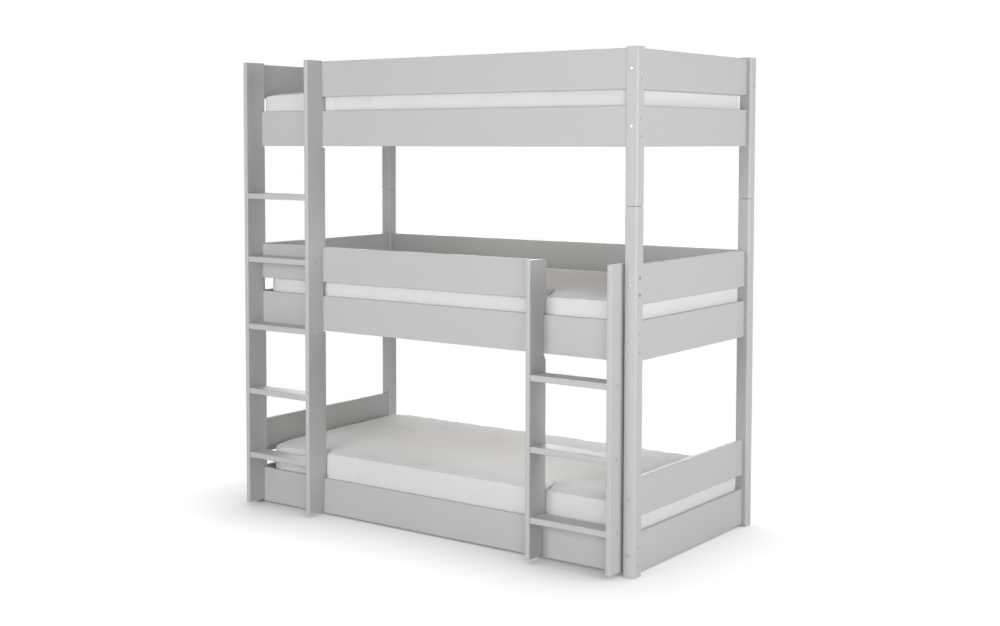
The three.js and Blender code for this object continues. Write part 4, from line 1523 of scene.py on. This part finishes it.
# Painted shadow on the floor: the glow seen on the floor is dimmed where ambient occlusion finds
# the bed close over it
PAINTED_SHADOW_REACH = 0.45
PAINTED_SHADOW_SAMPLES = 24
PAINTED_SHADOW_LEAN = (0.24, 0.34, 0.91)  # towards the rear right, where the painted shadow is thinner
PAINTED_SHADOW_TONES = (0.32, 0.97)
PAINTED_CONTACT_RANGE = (0.05, 0.35)  # openness at which the darkest painted contact shadow starts and ends
PAINTED_CONTACT_TONES = (0.5, 1.0)


class BUNK_OT_stage(Operator):
    """Sets the floor, the soft light, the white background and the camera"""

    bl_idname = "bunk.stage"
    bl_label = "Stage"

    def execute(self, context):
        stage = context.scene.bunk_stage
        context.scene.view_settings.view_transform = "Standard"
        self.floor()
        self.room(context.scene, stage)
        for name, (power, place, size) in LAMPS.items():
            self.lamp(name, power * stage.lamp_level, place, size)
        self.camera(context.scene, stage)
        return {"FINISHED"}

    def floor(self):
        """A round floor under the feet."""
        bpy.ops.object.select_all(action="DESELECT")
        bpy.ops.mesh.primitive_circle_add(vertices=FLOOR_SIDES, radius=FLOOR_RADIUS,
                                          fill_type="NGON")
        floor = settle(bpy.context.active_object, "floor")
        floor.data.materials.append(self.floor_material())

    def floor_material(self):
        """Pale floor that fades into the white background away from the bed, with a painted shadow
        round the bed.
        """
        material = bpy.data.materials.new("pale_floor")
        material.use_nodes = True
        tree = material.node_tree
        tree.nodes.remove(tree.nodes["Principled BSDF"])
        place = tree.nodes.new("ShaderNodeTexCoord").outputs["Object"]
        far = node(tree, "ShaderNodeVectorMath", {0: place}, operation="LENGTH")
        fade = map_range(tree, far.outputs["Value"], (0.0, 1.0), FLOOR_FADE,
                         interpolation_type="SMOOTHERSTEP")
        plain = node(tree, "ShaderNodeBsdfDiffuse", {"Color": FLOOR_BOUNCE})
        lit = node(tree, "ShaderNodeBsdfDiffuse", {"Color": FLOOR_GREY})
        # a glow whose strength carries the painted shadow
        pale = node(tree, "ShaderNodeEmission", {"Color": WHITE, "Strength": self.painted_floor_shadow(tree)})
        white = node(tree, "ShaderNodeEmission", {"Color": WHITE, "Strength": 1.0})
        shadowed = node(tree, "ShaderNodeAddShader", {0: pale.outputs[0], 1: lit.outputs[0]})
        seen = node(tree, "ShaderNodeMixShader", {
            0: fade, 1: shadowed.outputs[0], 2: white.outputs[0]})
        mixed = node(tree, "ShaderNodeMixShader", {
            0: self.seen_directly(tree), 1: plain.outputs[0], 2: seen.outputs[0]})
        tree.links.new(mixed.outputs[0], tree.nodes["Material Output"].inputs["Surface"])
        return material

    def painted_floor_shadow(self, tree):
        """Painted shadow: strength of the floor's glow, lower where the bed stands close over it.
        """
        lean = node(tree, "ShaderNodeCombineXYZ", dict(enumerate(PAINTED_SHADOW_LEAN)))
        near = node(tree, "ShaderNodeAmbientOcclusion", {
            "Distance": PAINTED_SHADOW_REACH, "Normal": lean.outputs[0]}, samples=PAINTED_SHADOW_SAMPLES)
        soft = map_range(tree, near.outputs["AO"], PAINTED_SHADOW_TONES)
        contact = map_range(tree, near.outputs["AO"], PAINTED_CONTACT_TONES, PAINTED_CONTACT_RANGE)
        return math_node(tree, "MULTIPLY", soft, contact)

    def seen_directly(self, tree):
        """One for rays from the camera or a mirror, nought for rays that carry light."""
        path = tree.nodes.new("ShaderNodeLightPath")
        glossy = math_node(tree, "MAXIMUM", path.outputs["Is Camera Ray"],
                           path.outputs["Is Glossy Ray"])
        return math_node(tree, "MAXIMUM", glossy, path.outputs["Is Transmission Ray"])

    def room(self, scene, stage):
        """Even light from all round, and a white background where it is seen."""
        world = scene.world or bpy.data.worlds.new("studio")
        scene.world = world
        world.use_nodes = True
        tree = world.node_tree
        background = tree.nodes["Background"]
        strength = map_range(tree, self.seen_directly(tree), (stage.room_strength, 1.0))
        connect(tree, background, {"Color": WHITE, "Strength": strength})

    def lamp(self, name, power, place, size):
        """A square lamp that faces the bed."""
        data = bpy.data.lights.new(name, "AREA")
        data.energy, data.size, data.color = power, size, LAMP_COLOUR
        lamp = bpy.data.objects.new(name, data)
        bpy.context.collection.objects.link(lamp)
        lamp.location = place
        aim = Vector(BED_MIDDLE) - Vector(place)
        lamp.rotation_euler = aim.to_track_quat("-Z", "Y").to_euler()

    def camera(self, scene, stage):
        """The main view, with its lens shifted to keep the bed in the middle."""
        data = bpy.data.cameras.new("camera")
        data.lens = stage.focal_length
        data.shift_x, data.shift_y = CAMERA_SHIFT
        camera = bpy.data.objects.new("camera", data)
        bpy.context.collection.objects.link(camera)
        camera.location = stage.camera_place
        camera.rotation_euler = (math.pi / 2 - stage.camera_tilt, 0, stage.camera_turn)
        scene.camera = camera


# Panel and registration

STEPS = (BUNK_OT_materials, BUNK_OT_posts, BUNK_OT_boards, BUNK_OT_ladders, BUNK_OT_decks,
         BUNK_OT_fasteners, BUNK_OT_mattresses, BUNK_OT_stage)
SETTINGS = {"bunk_shape": BunkShape, "bunk_mattress": BunkMattress,
            "bunk_colours": BunkColours, "bunk_stage": BunkStage}


class BUNK_PT_panel(Panel):
    """Lists the steps that build the bed and the values they use"""

    bl_idname = "BUNK_PT_panel"
    bl_label = "Bunk Bed"
    bl_space_type = "VIEW_3D"
    bl_region_type = "UI"
    bl_category = "Bunk Bed"

    def draw(self, context):
        for name, group in SETTINGS.items():
            box = self.layout.box()
            values = getattr(context.scene, name)
            for key in group.__annotations__:
                box.prop(values, key)
        for step in STEPS:
            self.layout.operator(step.bl_idname)


CLASSES = (*SETTINGS.values(), *STEPS, BUNK_PT_panel)


def register():
    for cls in CLASSES:
        bpy.utils.register_class(cls)
    for name, group in SETTINGS.items():
        setattr(bpy.types.Scene, name, PointerProperty(type=group))


def unregister():
    for name in SETTINGS:
        delattr(bpy.types.Scene, name)
    for cls in reversed(CLASSES):
        bpy.utils.unregister_class(cls)


def main():
    """Builds every piece and the stage."""
    register()
    bpy.ops.bunk.materials()
    bpy.ops.bunk.posts()
    bpy.ops.bunk.boards()
    bpy.ops.bunk.ladders()
    bpy.ops.bunk.decks()
    bpy.ops.bunk.fasteners()
    bpy.ops.bunk.mattresses()
    bpy.ops.bunk.stage()


if __name__ == "__main__":
    main()
